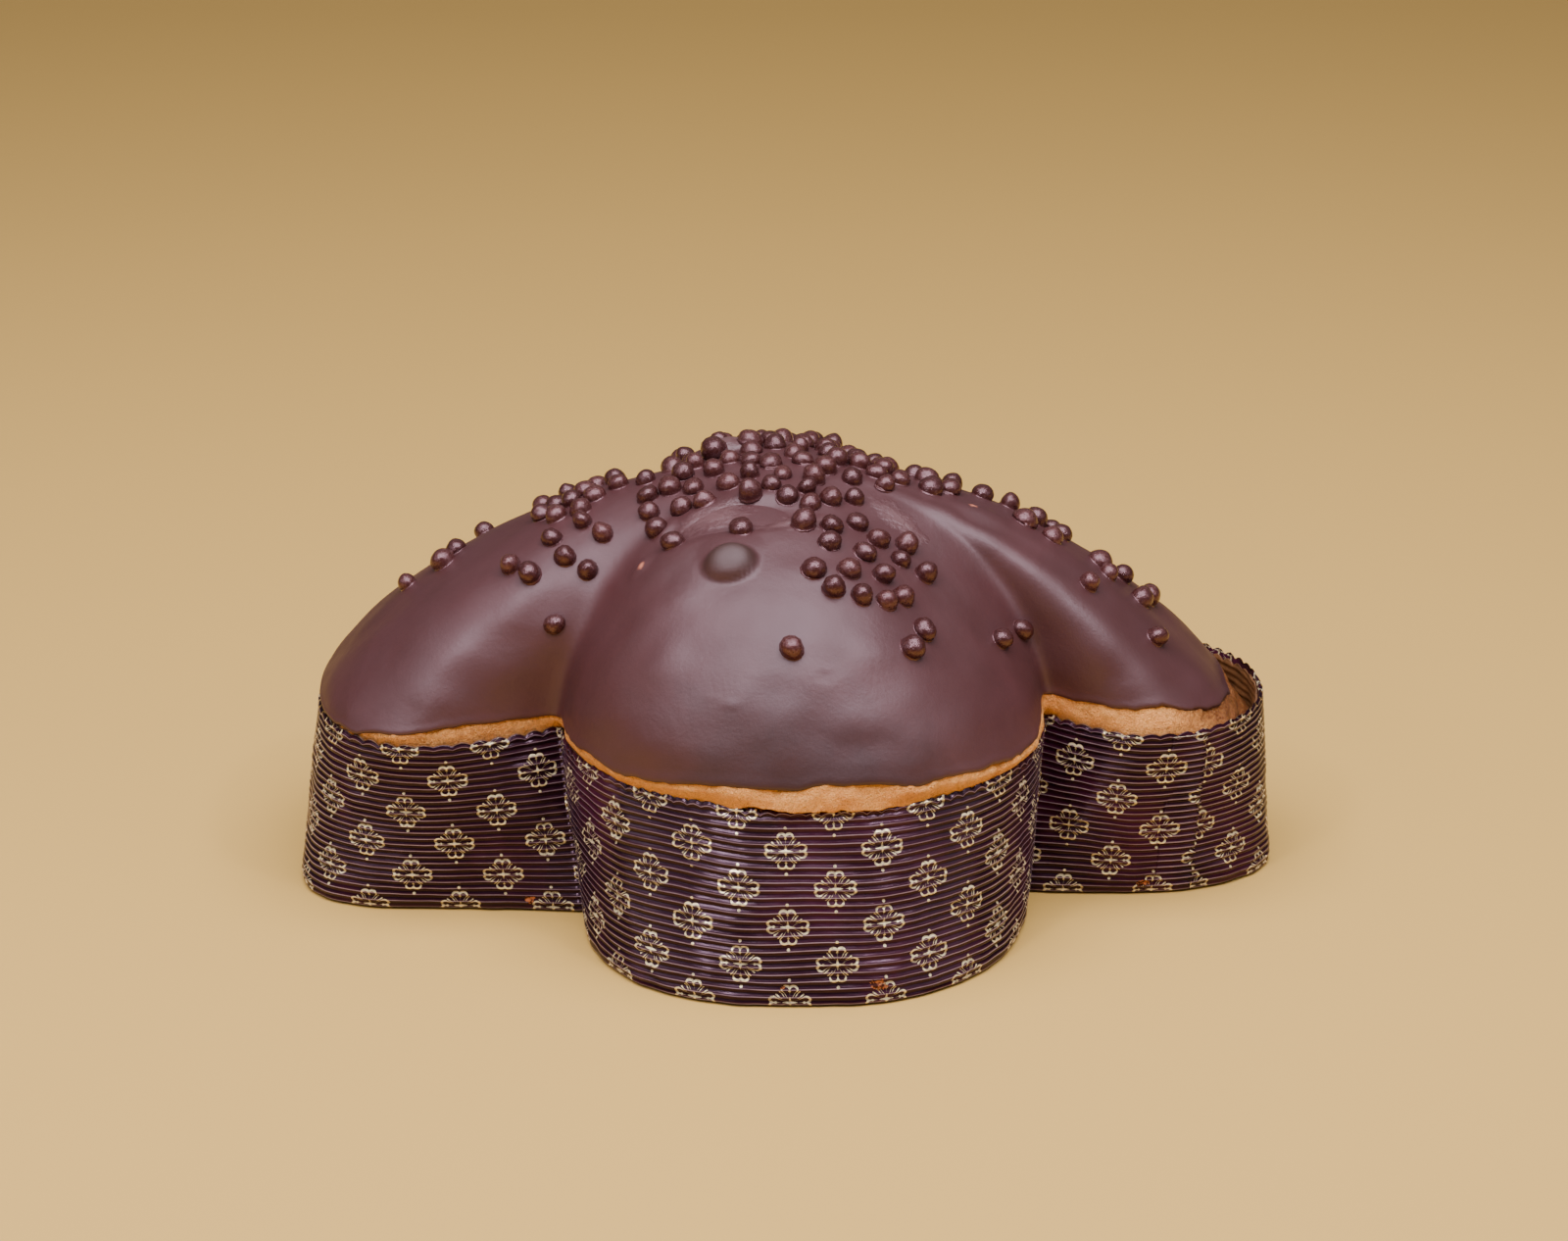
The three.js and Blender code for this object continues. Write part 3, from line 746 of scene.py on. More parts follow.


def make_crust():
    """The baked dough: walls inside the case, the bare band with its uneven folds, and the dome
    under the glaze. The band's foot tucks in behind the paper, but at the middle of a wing it comes
    over the paper as a lip that sags. Each point also holds a share of painted shade, which darkens
    the crust at the head's end and a little round the tail."""
    columns = dome_columns(CRUST_FINENESS)
    place = columns["place"]
    dome = np.linspace(0, 1, 15)[:-1]
    points, normal, _ = dome_rows(columns, np.r_[BAND, dome], glaze_edge(columns))
    depth = np.r_[np.interp(BAND, *np.transpose(BAND_DEPTH)), np.full(len(dome), COVERED_DEPTH)]
    fold = layered(points, CRUST_FOLDS)
    fold *= (np.arange(len(points)) < len(BAND))[:, None]
    crust = points - normal * (depth[:, None] - fold)[..., None] * MM

    foot, rim = outline(FOOT, CRUST_FINENESS), outline(RIM, CRUST_FINENESS)
    wall = {"foot": foot, "rim": rim, "out": outward(0.5 * (foot + rim), mitred=True)}
    lip = smooth(LIP[0], LIP[1], place) * (1 - smooth(LIP[2], LIP[3], place))
    tuck = smooth(*TUCK, place) * (1 - lip)
    inner = np.full((1, len(foot)), PAPER + SLACK)
    tucked = wall_points(wall, np.full_like(inner, RIM_Z - TUCK_DEPTH), inner)[0]
    share = smooth(*TUCK_LEVELS, BAND)[:, None] * tuck
    crust[: len(BAND)] += (tucked - crust[0]) * share[..., None]
    sag = lip * (LIP_SAG[0] + LIP_SAG[1] * layered(points[0], LIP_WAVES)) * MM
    crust[: len(BAND), :, 2] -= smooth(*LIP_LEVELS, BAND)[:, None] * sag

    sunken = SUNKEN_DEPTH * (1 - smooth(*SUNKEN, place))
    top = np.minimum(columns["foot"] - GAP - sunken, RIM_Z - DOUGH_DEPTH)
    heights = DOUGH_LOW + DOUGH_ROWS[:, None] * (top - DOUGH_LOW)
    inside = wall_points(wall, heights, np.full_like(heights, PAPER + SLACK))
    base = wall_points(wall, np.full_like(inner, PAPER + GAP), inner + FOOT_INSET)
    way, rise = np.transpose(LIP_RISE)
    over = inside[-1] + (crust[0] - inside[-1]) * way[:, None, None]
    over[..., 2] += lip * rise[:, None]
    # Painted shade: darker crust at the head's end and a little round the tail.
    recess_shade = 1 - smooth(*SHADE_HEAD, place) + SHADE_TAIL[2] * smooth(*SHADE_TAIL[:2], place)
    return surface("crust", np.vstack([base, inside, over, crust]),
                   ends=[(SUMMIT_X, 0, PAPER + GAP), (SUMMIT_X, 0, TOP_Z - GLAZE - GAP)],
                   values={"recess_shade": recess_shade})


GLAZE_FINENESS = 2  # points to a tooth
GLAZE_LEVELS = np.r_[np.linspace(0, 0.06, 7), np.linspace(0.06, 1, 141)[1:-1]]
BEAD_TURN = np.linspace(0.12, 0.88, 7)  # of the half turn round the lower lip
DROOP = 1.1  # which is deeper than round by this factor


def make_glaze(settings):
    """The chocolate glaze: its outer face, a rounded lower lip, nearly half an oval, and an inner
    skin of every eighth row."""
    columns = dome_columns(GLAZE_FINENESS)
    points, outer, normal, up = glaze_rows(columns, GLAZE_LEVELS, settings.swell)
    half = 0.5 * (GLAZE + BEAD)
    turn = BEAD_TURN[:, None, None] * np.pi
    middle = outer[0] - normal[0] * half
    lip = middle - normal[0] * np.cos(turn) * half - up[0] * np.sin(turn) * half * DROOP
    inner = (points - normal * GLAZE)[::8][::-1]
    return surface("chocolate_glaze", np.vstack([inner, lip, outer]),
                   ends=[(SUMMIT_X, 0, TOP_Z - GLAZE), (SUMMIT_X, 0, TOP_Z + GAP)])


# ---------------------------------------------------------------- pearls


DRAW_FACTOR, DRAW_PRIME = 16807, 2147483647
TRIES = 40  # to a pearl
FEET_LEVELS = np.linspace(0, 1, 141)[:-1]  # of the glaze that the pearls stand on


def pearl_places(seed):
    """Places in plan: draws in each shower, kept where no pearl is near. A draw is the last one
    times a constant, modulo a prime, and its share of that prime."""
    state = seed

    def draw():
        nonlocal state
        state = state * DRAW_FACTOR % DRAW_PRIME
        return state / DRAW_PRIME

    kept = list(STRAYS)
    for x, y, along_x, across_y, count in SHOWERS:
        enough = len(kept) + count
        for _ in range(TRIES * count):
            turn, out = 2 * np.pi * draw(), draw() ** 0.5
            place = (x + along_x * out * np.cos(turn), y + across_y * out * np.sin(turn))
            near = any(np.hypot(a - place[0], b - place[1]) < PEARL_APART for a, b in kept)
            if len(kept) < enough and not near:
                kept.append(place)
    return np.array(kept) * MM


def stand_pearls(settings, swell):
    """Where the pearls stand: their feet on the glaze and its normals there."""
    columns = dome_columns(GLAZE_FINENESS)
    _, points, _, _ = glaze_rows(columns, FEET_LEVELS, swell)
    rows, count = points.shape[:2]
    quads = ring_quads(rows - 1, rows, count)
    tree = BVHTree.FromPolygons(points.reshape(-1, 3).tolist(), quads.tolist())
    hits = [tree.ray_cast(Vector((x, y, 2 * TOP_Z)), Vector((0, 0, -1)))
            for x, y in pearl_places(settings.seed)]
    return np.array([hit[0] for hit in hits]), np.array([hit[1] for hit in hits])


# A pearl's profile from its top to where it has sunk in, in radii: distance from its axis and
# height over the glaze. It ends in a narrow collar of glaze.
PEARL_PROFILE = np.array([
    (0.24, 1.19), (0.50, 1.09), (0.74, 0.91), (0.92, 0.64), (1.0, 0.36), (0.99, 0.13),
    (0.985, 0.05), (1.03, 0.0), (1.10, -0.06), (0.9, -0.4),
])
PEARL_TOP = 1.215
PEARL_SEGMENTS = 12
PEARL_BODY = (0.02, 0.2)  # heights, in radii, from the collar to the body
PEARL_SQUASH, PEARL_LEAN = 0.11, 0.12  # the most of each
PEARL_SEATS = 50  # the most that one's dimples are taken from elsewhere in their waves
PEARL_SIZES = (0.86, 1.08)  # of the mean radius
PEARL_SUNK = (-0.6, 1.0)  # of the most that one sits deeper


def make_pearls(settings, swell):
    """All pearls in one mesh. Each is its profile turned about the glaze's normal and then leaned,
    squashed and dimpled a little in its own way. `collar` is 1 on the glaze round its foot."""
    feet, normals = stand_pearls(settings, swell)
    count = len(feet)
    draw = np.random.default_rng(settings.seed + 1)
    turn = np.linspace(0, 2 * np.pi, PEARL_SEGMENTS, endpoint=False)
    out, up = PEARL_PROFILE[:, :1], PEARL_PROFILE[:, 1:]
    up = np.repeat(up, PEARL_SEGMENTS, axis=1)
    unit = np.stack([out * np.cos(turn), out * np.sin(turn), up], -1)
    unit = np.vstack([unit.reshape(-1, 3), [(0, 0, PEARL_TOP), (0, 0, up[-1, 0])]])
    body = smooth(*PEARL_BODY, unit[:, 2])

    side = np.cross(normals, draw.normal(size=(count, 3)))
    side /= np.linalg.norm(side, axis=1, keepdims=True)
    frame_of = np.stack([side, np.cross(normals, side), normals], axis=1)
    squash = 1 + draw.uniform(-PEARL_SQUASH, PEARL_SQUASH, (count, 1, 3))
    lean = draw.uniform(-PEARL_LEAN, PEARL_LEAN, (count, 1, 2))
    seats = draw.uniform(-PEARL_SEATS, PEARL_SEATS, (count, 1, 3))
    dimple = 1 + layered(unit + seats, PEARL_DIMPLES)[..., None] * body[:, None]
    shapes = unit * squash * dimple
    shapes[..., :2] += lean * shapes[..., 2:] * body[:, None]
    radius = settings.radius * draw.uniform(*PEARL_SIZES, count)
    sunk = settings.sunk * draw.uniform(*PEARL_SUNK, count)[:, None] * body
    points = feet[:, None] + (shapes * radius[:, None, None]) @ frame_of
    points -= normals[:, None] * sunk[..., None]

    rows = len(PEARL_PROFILE)
    offsets = (np.arange(count) * len(unit))[:, None, None]
    faces = (ring_quads(rows - 1, rows, PEARL_SEGMENTS) + offsets).reshape(-1, 4).tolist()
    faces += (end_fans(rows, PEARL_SEGMENTS) + offsets).reshape(-1, 3).tolist()
    mesh = bpy.data.meshes.new("chocolate_pearls")
    mesh.from_pydata(points.reshape(-1, 3).tolist(), [], faces)
    mesh.shade_smooth()
    for name, numbers in (("tone", np.repeat(draw.uniform(0, 1, count), len(unit))),
                          ("collar", np.tile(1 - body, count))):
        layer = mesh.attributes.new(name, "FLOAT", "POINT")
        layer.data.foreach_set("value", numbers.astype(np.float32))
    return place_in_scene("chocolate_pearls", mesh)


# ---------------------------------------------------------------- shader building


def join(tree, socket, value):
    """Sets a socket to a number or colour, or links another socket to it."""
    if isinstance(value, bpy.types.NodeSocket):
        tree.links.new(value, socket)
    elif hasattr(value, "__len__") and len(value) == 3 and socket.type == "RGBA":
        socket.default_value = (*value, 1)
    else:
        socket.default_value = value


def result(tree, operation, *values):
    """The result of one sum, such as MULTIPLY of two values."""
    node = tree.nodes.new("ShaderNodeMath")
    node.operation = operation
    for socket, value in zip(node.inputs, values):
        join(tree, socket, value)
    return node.outputs[0]


def folded(tree, operation, values):
    """Values joined one after another, such as the MINIMUM of all."""
    found = values[0]
    for value in values[1:]:
        found = result(tree, operation, found, value)
    return found


class Finish:
    """One material, with short calls that add and join its nodes."""

    def __init__(self, name):
        self.material = bpy.data.materials.new(name)
        self.material.use_nodes = True
        self.tree = self.material.node_tree
        self.shader = self.tree.nodes["Principled BSDF"]

    def math(self, operation, *values):
        """The result of one sum in the material."""
        return result(self.tree, operation, *values)

    def most(self, masks):
        """The largest of several masks."""
        return folded(self.tree, "MAXIMUM", masks)

    def ramp(self, value, low, high, start=0.0, stop=1.0):
        """A value carried from the span low..high to start..stop, and held at its ends."""
        node = self.tree.nodes.new("ShaderNodeMapRange")
        for key, number in (("Value", value), ("From Min", low), ("From Max", high),
                            ("To Min", start), ("To Max", stop)):
            join(self.tree, node.inputs[key], number)
        return node.outputs["Result"]

    def mix(self, share, first, second):
        """A colour between two colours."""
        node = self.tree.nodes.new("ShaderNodeMix")
        node.data_type = "RGBA"
        for key, value in ((0, share), (6, first), (7, second)):
            join(self.tree, node.inputs[key], value)
        return node.outputs[2]

    def noise(self, scale, detail=3.0, roughness=0.55, stretch=None, distortion=0.0):
        """Noise over Object coordinates, with `scale` cells to a metre."""
        node = self.tree.nodes.new("ShaderNodeTexNoise")
        for key, number in (("Scale", scale), ("Detail", detail), ("Roughness", roughness),
                            ("Distortion", distortion)):
            node.inputs[key].default_value = number
        self.tree.links.new(self.coordinates(stretch), node.inputs["Vector"])
        return node.outputs["Fac"]

    def cells(self, scale):
        """Distance to the nearest point of a Voronoi pattern."""
        node = self.tree.nodes.new("ShaderNodeTexVoronoi")
        node.inputs["Scale"].default_value = scale
        self.tree.links.new(self.coordinates(None), node.inputs["Vector"])
        return node.outputs["Distance"]

    def coordinates(self, stretch):
        """Object coordinates, stretched along each axis where asked."""
        place = self.tree.nodes.new("ShaderNodeTexCoord").outputs["Object"]
        if stretch is None:
            return place
        node = self.tree.nodes.new("ShaderNodeMapping")
        node.inputs["Scale"].default_value = stretch
        self.tree.links.new(place, node.inputs["Vector"])
        return node.outputs["Vector"]

    def oval(self, x, y, along, across, turn=0, ragged=0.5, scale=220, soft=0.3):
        """A mask that is 1 inside an oval of the plan, in millimetres, with a ragged edge that
        starts at the share `soft` of it."""
        node = self.tree.nodes.new("ShaderNodeMapping")
        node.vector_type = "TEXTURE"
        node.inputs["Location"].default_value = (x * MM, y * MM, 0)
        node.inputs["Rotation"].default_value = (0, 0, np.radians(turn))
        node.inputs["Scale"].default_value = (along * MM, across * MM, 1000)
        self.tree.links.new(self.coordinates(None), node.inputs["Vector"])
        length = self.tree.nodes.new("ShaderNodeVectorMath")
        length.operation = "LENGTH"
        self.tree.links.new(node.outputs["Vector"], length.inputs[0])
        rough = self.ramp(self.noise(scale, 4, 0.6), 0.25, 0.75, -ragged, ragged)
        return self.ramp(self.math("ADD", length.outputs["Value"], rough), 1.2, soft)

    def number(self, name):
        """A named number of the mesh's points."""
        node = self.tree.nodes.new("ShaderNodeAttribute")
        node.attribute_name = name
        return node.outputs["Fac"]

    def bump(self, height, distance, strength=1.0, normal=None):
        """A bumped normal from a height of 0..1 that stands for `distance`."""
        node = self.tree.nodes.new("ShaderNodeBump")
        node.inputs["Strength"].default_value = strength
        node.inputs["Distance"].default_value = distance
        join(self.tree, node.inputs["Height"], height)
        if normal is not None:
            join(self.tree, node.inputs["Normal"], normal)
        return node.outputs["Normal"]

    def set(self, **values):
        """Sets or links the shader's own sockets."""
        for key, value in values.items():
            join(self.tree, self.shader.inputs[key.replace("_", " ")], value)
        return self.material


# The flower, in millimetres from its centre. Its strokes widen from one point to the next, from
# the thin to the thick half width: the petal, of which only the outline is drawn, the pair between
# two petals, and the ray in a petal's root. The dots have a centre and a radius.
FLOWER_HEIGHT = 1.17  # y is stretched by this, so that the flower is lower than it is wide
PETAL = ((1.1, 0.0), (4.7, 1.12), 0.10, 1.22)
PETAL_LINE = (0.0115, -0.05)  # half width of its outline: the first times p squared, and the second
PAIR = ((2.3, 1.65), (4.0, 2.95), 0.03, 0.2)
RAY = ((0.0, 0.0), (2.1, 0.0), 0.42, 0.05)
PETAL_DOT = (4.2, 0.36)
OUTER_DOT = (8.1, 0.45)
INK_EDGE = -6.0  # change of the gold in a millimetre away from a mark


def flower_group():
    """A node group: given x and y from a flower's centre in millimetres, how much gold is there.
    Four heart-shaped petals in outline with a dot in each, paired strokes between them, and a dot
    above and below. The petals are folded onto one by p and q, the larger and smaller of |x| and
    |y|."""
    tree = bpy.data.node_groups.new("flower", "ShaderNodeTree")
    tree.interface.new_socket("x", in_out="INPUT", socket_type="NodeSocketFloat")
    tree.interface.new_socket("y", in_out="INPUT", socket_type="NodeSocketFloat")
    tree.interface.new_socket("gold", in_out="OUTPUT", socket_type="NodeSocketFloat")
    start = tree.nodes.new("NodeGroupInput")
    stop = tree.nodes.new("NodeGroupOutput")

    def sum_of(operation, *values):
        return result(tree, operation, *values)

    def length_of(a, b):
        squares = sum_of("MULTIPLY_ADD", a, a, sum_of("MULTIPLY", b, b))
        return sum_of("SQRT", squares)

    def stroke(p, q, first, second, thin, thick):
        """Distance to a stroke between two points that widens from thin to thick."""
        dx, dy = second[0] - first[0], second[1] - first[1]
        span = dx * dx + dy * dy
        p0, q0 = sum_of("SUBTRACT", p, first[0]), sum_of("SUBTRACT", q, first[1])
        dot = sum_of("MULTIPLY_ADD", p0, dx / span, sum_of("MULTIPLY", q0, dy / span))
        share = sum_of("MINIMUM", sum_of("MAXIMUM", dot, 0.0), 1.0)
        gap = length_of(sum_of("MULTIPLY_ADD", share, -dx, p0),
                        sum_of("MULTIPLY_ADD", share, -dy, q0))
        return sum_of("SUBTRACT", gap, sum_of("MULTIPLY_ADD", share, thick - thin, thin))

    x = start.outputs["x"]
    y = sum_of("MULTIPLY", start.outputs["y"], FLOWER_HEIGHT)
    across, upward = sum_of("ABSOLUTE", x), sum_of("ABSOLUTE", y)
    p, q = sum_of("MAXIMUM", across, upward), sum_of("MINIMUM", across, upward)
    petal = sum_of("ABSOLUTE", stroke(p, q, *PETAL))
    swelling = sum_of("MULTIPLY_ADD", sum_of("MULTIPLY", p, p), *PETAL_LINE)
    marks = [
        sum_of("SUBTRACT", petal, swelling),
        stroke(p, q, *PAIR),
        stroke(p, q, *RAY),
        sum_of("SUBTRACT", length_of(sum_of("SUBTRACT", p, PETAL_DOT[0]), q), PETAL_DOT[1]),
        sum_of("SUBTRACT", length_of(x, sum_of("SUBTRACT", upward, OUTER_DOT[0])), OUTER_DOT[1]),
    ]
    edge = sum_of("MULTIPLY_ADD", folded(tree, "MINIMUM", marks), INK_EDGE, 0.5)
    gold = sum_of("MINIMUM", sum_of("MAXIMUM", edge, 0.0), 1.0)
    tree.links.new(gold, stop.inputs["gold"])
    return tree


def flower_lattice(finish, settings):
    """Gold over the print's own coordinates: flowers on a lattice whose odd rows are shifted by
    half a flower, each row repeated at every second row's height."""
    node = finish.tree.nodes.new("ShaderNodeUVMap")
    node.uv_map = "print"
    split = finish.tree.nodes.new("ShaderNodeSeparateXYZ")
    finish.tree.links.new(node.outputs["UV"], split.inputs[0])
    u, v = split.outputs["X"], split.outputs["Y"]
    group = flower_group()
    found = []
    for half, row in ((0.0, 0.0), (0.5, 1.0)):
        column = finish.math("ADD", u, half)
        x = finish.math("SUBTRACT", column, finish.math("ROUND", column))
        pair = finish.math("MULTIPLY", finish.math("ADD", v, row), 0.5)
        y = finish.math("SUBTRACT", pair, finish.math("ROUND", pair))
        flower = finish.tree.nodes.new("ShaderNodeGroup")
        flower.node_tree = group
        for key, value, spacing in (("x", x, settings.flower_spacing),
                                    ("y", y, 2 * settings.row_spacing)):
            finish.tree.links.new(finish.math("MULTIPLY", value, spacing / MM), flower.inputs[key])
        found.append(flower.outputs["gold"])
    return finish.math("MAXIMUM", *found)


# ---------------------------------------------------------------- finishes


def scaled(colour, *factors):
    """A colour with each channel times a factor, or all times the only one."""
    return [c * f for c, f in zip(colour, factors * 3 if len(factors) == 1 else factors)]


# Colours where what is under a surface shows and of what lies on it. The crust's pore colour is
# painted shade, and the thin glaze's paler lilac-grey is partly painted sheen.
TORN = ((0.035, 0.008, 0.003), (0.50, 0.16, 0.055))  # dark and light brown of torn paper
PORE_SHADE = (0.12, 0.035, 0.01)
THIN_GLAZE_SHEEN = (0.20, 0.115, 0.12)
LUMP_BROWN = (0.034, 0.014, 0.008)
BARE_DOUGH = (0.50, 0.17, 0.10)
PEARL_DUST = (0.16, 0.08, 0.072)

# Small tears of the print, where brown paper shows: run along the near side from the head's end,
# height and half width, in millimetres.
TEARS = [(191, 6.6, 2.6), (58, 4.6, 2.0), (334, 4.2, 1.8), (219, 6.5, 0.7)]
TEAR_SHAPE = 0.62  # its height, as a share of its width


def tears(finish):
    """A mask of the small tears: near each one's place in the print's run and height, with a rough
    edge."""
    run, height = finish.number("run"), finish.number("height")
    rough = finish.ramp(finish.noise(650, 3, 0.6), 0.3, 0.7, -0.6, 0.6)

    def tear(place, up, half):
        x = finish.math("DIVIDE", finish.math("SUBTRACT", run, place * MM), half * MM)
        y = finish.math("DIVIDE", finish.math("SUBTRACT", height, up * MM), TEAR_SHAPE * half * MM)
        square = finish.math("ADD", finish.math("MULTIPLY", x, x), finish.math("MULTIPLY", y, y))
        return finish.ramp(finish.math("ADD", finish.math("SQRT", square), rough), 1.1, 0.85)

    return finish.most([tear(*place) for place in TEARS])


def printed_paper(settings):
    """Aubergine satin paper with painted shade in its grooves, pale lines painted on its crests
    as a highlight and wine red in patches, with gold flowers that are thinned in places and
    dimmed in the grooves by painted shade, and a few small tears."""
    finish = Finish("printed paper")
    crest = finish.number("crest")
    # Less gold where the print thinned at random, and less in the grooves as painted shade.
    gold_wear_and_shade = finish.ramp(finish.noise(1100, 2), 0.36, 0.5, 0.35, 1.0)
    gold_wear_and_shade = finish.math("MULTIPLY", gold_wear_and_shade, finish.ramp(crest, 0.0, 0.7, 0.34, 1.0))
    gold = finish.math("MULTIPLY", flower_lattice(finish, settings), gold_wear_and_shade)
    # Painted shade: the ground is painted darker in the grooves.
    ground = finish.mix(finish.ramp(crest, 0.3, 1.0), scaled(settings.paper, 0.3), settings.paper)
    patches = finish.noise(24, 4, 0.6, stretch=(1, 1, 0.6))
    ground = finish.mix(finish.ramp(patches, 0.5, 0.68, 0.0, 0.75), ground,
                        scaled(settings.paper, 1.7, 1.25, 1.45))
    # Painted highlight: pale broken lines painted on the crests stand for the light they catch.
    crest_highlight = finish.ramp(finish.noise(34, 5, 0.65, stretch=(1, 1, 0.5)), 0.32, 0.62, 0.25, 1.0)
    crest_highlight = finish.math("MULTIPLY", crest_highlight, finish.ramp(crest, 0.84, 0.99))
    ground = finish.mix(finish.math("MULTIPLY", crest_highlight, 0.8), ground, settings.crest_highlight)
    fibres = finish.noise(800, 5, 0.7, stretch=(1, 1, 2))
    colour = finish.mix(gold, ground, settings.gold)
    torn = tears(finish)
    brown = finish.mix(finish.ramp(finish.noise(900, 3), 0.42, 0.56), *TORN)
    colour = finish.mix(torn, colour, brown)
    roughness = finish.ramp(finish.noise(240, 4), 0.3, 0.7, 0.11, 0.22)
    metallic = finish.math("MULTIPLY", gold, 0.45)
    pitted = finish.bump(finish.math("MULTIPLY", torn, -1.0), 0.0006, 0.8)
    return finish.set(
        Base_Color=colour, Roughness=roughness, Metallic=metallic, Specular_IOR_Level=0.3,
        Specular_Tint=(1, 0.66, 0.90), Normal=finish.bump(fibres, 0.00010, 0.4, pitted))


def kraft_paper(settings):
    """Brown kraft paper with darker greasy patches."""
    finish = Finish("kraft paper")
    stains = finish.ramp(finish.noise(70, 5, 0.65, stretch=(1, 1, 0.5)), 0.40, 0.62)
    colour = finish.mix(stains, settings.kraft, scaled(settings.kraft, 0.4))
    fibres = finish.noise(900, 5, 0.7)
    return finish.set(Base_Color=colour, Roughness=0.5, Normal=finish.bump(fibres, 0.0003, 0.6))


def baked_crust(settings):
    """Orange-tan crust: toasted patches, a coarse and a fine grain, a few open pore holes painted
    dark as shade, and painted shade at the head's end and a little round the tail."""
    finish = Finish("baked crust")
    patches = finish.ramp(finish.noise(75, 5, 0.65), 0.42, 0.66, 0.0, 0.6)
    colour = finish.mix(patches, settings.crust, settings.toasted)
    grain = finish.noise(900, 4, 0.75)
    colour = finish.mix(finish.ramp(grain, 0.48, 0.68, 0.0, 0.3), colour,
                        scaled(settings.toasted, 0.6))
    sand = finish.noise(2600, 2, 0.6)
    colour = finish.mix(finish.ramp(sand, 0.49, 0.64, 0.0, 0.4), colour,
                        scaled(settings.toasted, 0.4))
    # Darker from the coarse grain and from the painted shade at the head's end and round the tail.
    dark = finish.math("MULTIPLY_ADD", finish.ramp(grain, 0.3, 0.7), 0.5, finish.number("recess_shade"))
    colour = finish.mix(finish.ramp(dark, 0.45, 1.3), colour,
                        scaled(settings.toasted, 0.24, 0.19, 0.16))
    # Painted shade: dark specks in small open pore holes.
    pore_shade = finish.ramp(finish.cells(900), 0.10, 0.24, 1.0, 0.0)
    pore_shade = finish.math("MULTIPLY", pore_shade, finish.ramp(finish.noise(260, 2), 0.50, 0.62))
    colour = finish.mix(finish.math("MULTIPLY", pore_shade, 0.45), colour, PORE_SHADE)
    height = finish.math("MULTIPLY_ADD", sand, 0.35, grain)
    folds = finish.bump(finish.noise(230, 5, 0.68), 0.0022, 0.85)
    roughness = finish.ramp(finish.noise(120, 3), 0.35, 0.65, 0.34, 0.6)
    return finish.set(
        Base_Color=colour, Roughness=roughness, Specular_IOR_Level=0.4, Subsurface_Weight=0.05,
        Subsurface_Scale=0.0015, Normal=finish.bump(height, 0.0011, 0.95, folds))


# Marks on the glaze, as ovals of the plan: place, half axes in millimetres and turn in degrees. The
# thin spots' paler colour is partly painted sheen, the low one is painted shade, and the dull one
# is darker brown and rougher, on the near lump.
THIN_SHEEN_SPOTS = [(-20, 22, 10, 7, 20), (-22, -30, 10, 6, 5), (3, -36, 10, 4, 12), (34, -22, 9, 4, -42)]
LOW_SHADE_SPOT = (6, -103, 56, 19, 0)
DULL_SPOT = (-17, -54, 7.6, 5.6, 0)
BARE_SPOTS = [(57, -6, 1.3, 1.0, 0), (-44, -40, 1.0, 1.2, 0), (-12, 16, 1.1, 0.9, 0)]


def chocolate_glaze(settings):
    """Dark chocolate with a satin skin: faint paler bloom, smears, wrinkled thin spots whose paler
    lilac-grey is partly painted sheen, painted shade low on the near wing's front, a brown, rougher
    spot on the near lump, and tiny bare ones where the dough shows."""
    finish = Finish("chocolate glaze")
    bloom = finish.ramp(finish.noise(26, 5, 0.6, distortion=0.8), 0.38, 0.68)
    colour = finish.mix(finish.math("MULTIPLY", bloom, 0.5), settings.glaze,
                        scaled(settings.glaze, 1.4, 1.4, 1.5))
    # Thin spots: smoother and wrinkled, with a paler lilac-grey that is partly painted sheen.
    thin = finish.most([finish.oval(*spot) for spot in THIN_SHEEN_SPOTS])
    colour = finish.mix(finish.math("MULTIPLY", thin, 0.4), colour, THIN_GLAZE_SHEEN)
    # Painted shade: the lower front of the near wing is painted darker.
    low_shade = finish.oval(*LOW_SHADE_SPOT, 0.4, 60, 0.2)
    colour = finish.mix(finish.math("MULTIPLY", low_shade, 0.75), colour, scaled(settings.glaze, 0.42))
    dull = finish.oval(*DULL_SPOT, 0.1, 120, 0.8)
    colour = finish.mix(finish.math("MULTIPLY", dull, 0.8), colour, LUMP_BROWN)
    bare = finish.most([finish.oval(*spot, 0.4, 1200, 0.3) for spot in BARE_SPOTS])
    colour = finish.mix(bare, colour, BARE_DOUGH)
    roughness = finish.ramp(finish.noise(45, 5, 0.6), 0.3, 0.7, 0.43, 0.53)
    roughness = finish.math("MULTIPLY_ADD", thin, -0.1, roughness)
    roughness = finish.math("MULTIPLY_ADD", dull, 0.1, roughness)
    skin = finish.bump(finish.noise(900, 4, 0.7), 0.00020, 0.35)
    smears = finish.bump(finish.noise(70, 4, 0.55, distortion=0.5), 0.0007, 0.3, skin)
    smears = finish.bump(finish.noise(24, 3, 0.5, distortion=0.8), 0.0030, 0.22, smears)
    wrinkles = finish.math("MULTIPLY", thin, finish.noise(70, 2, 0.5, distortion=1.0))
    return finish.set(
        Base_Color=colour, Roughness=roughness, Specular_IOR_Level=0.7,
        Specular_Tint=(1, 0.88, 0.97), Normal=finish.bump(wrinkles, 0.0020, 0.4, smears))


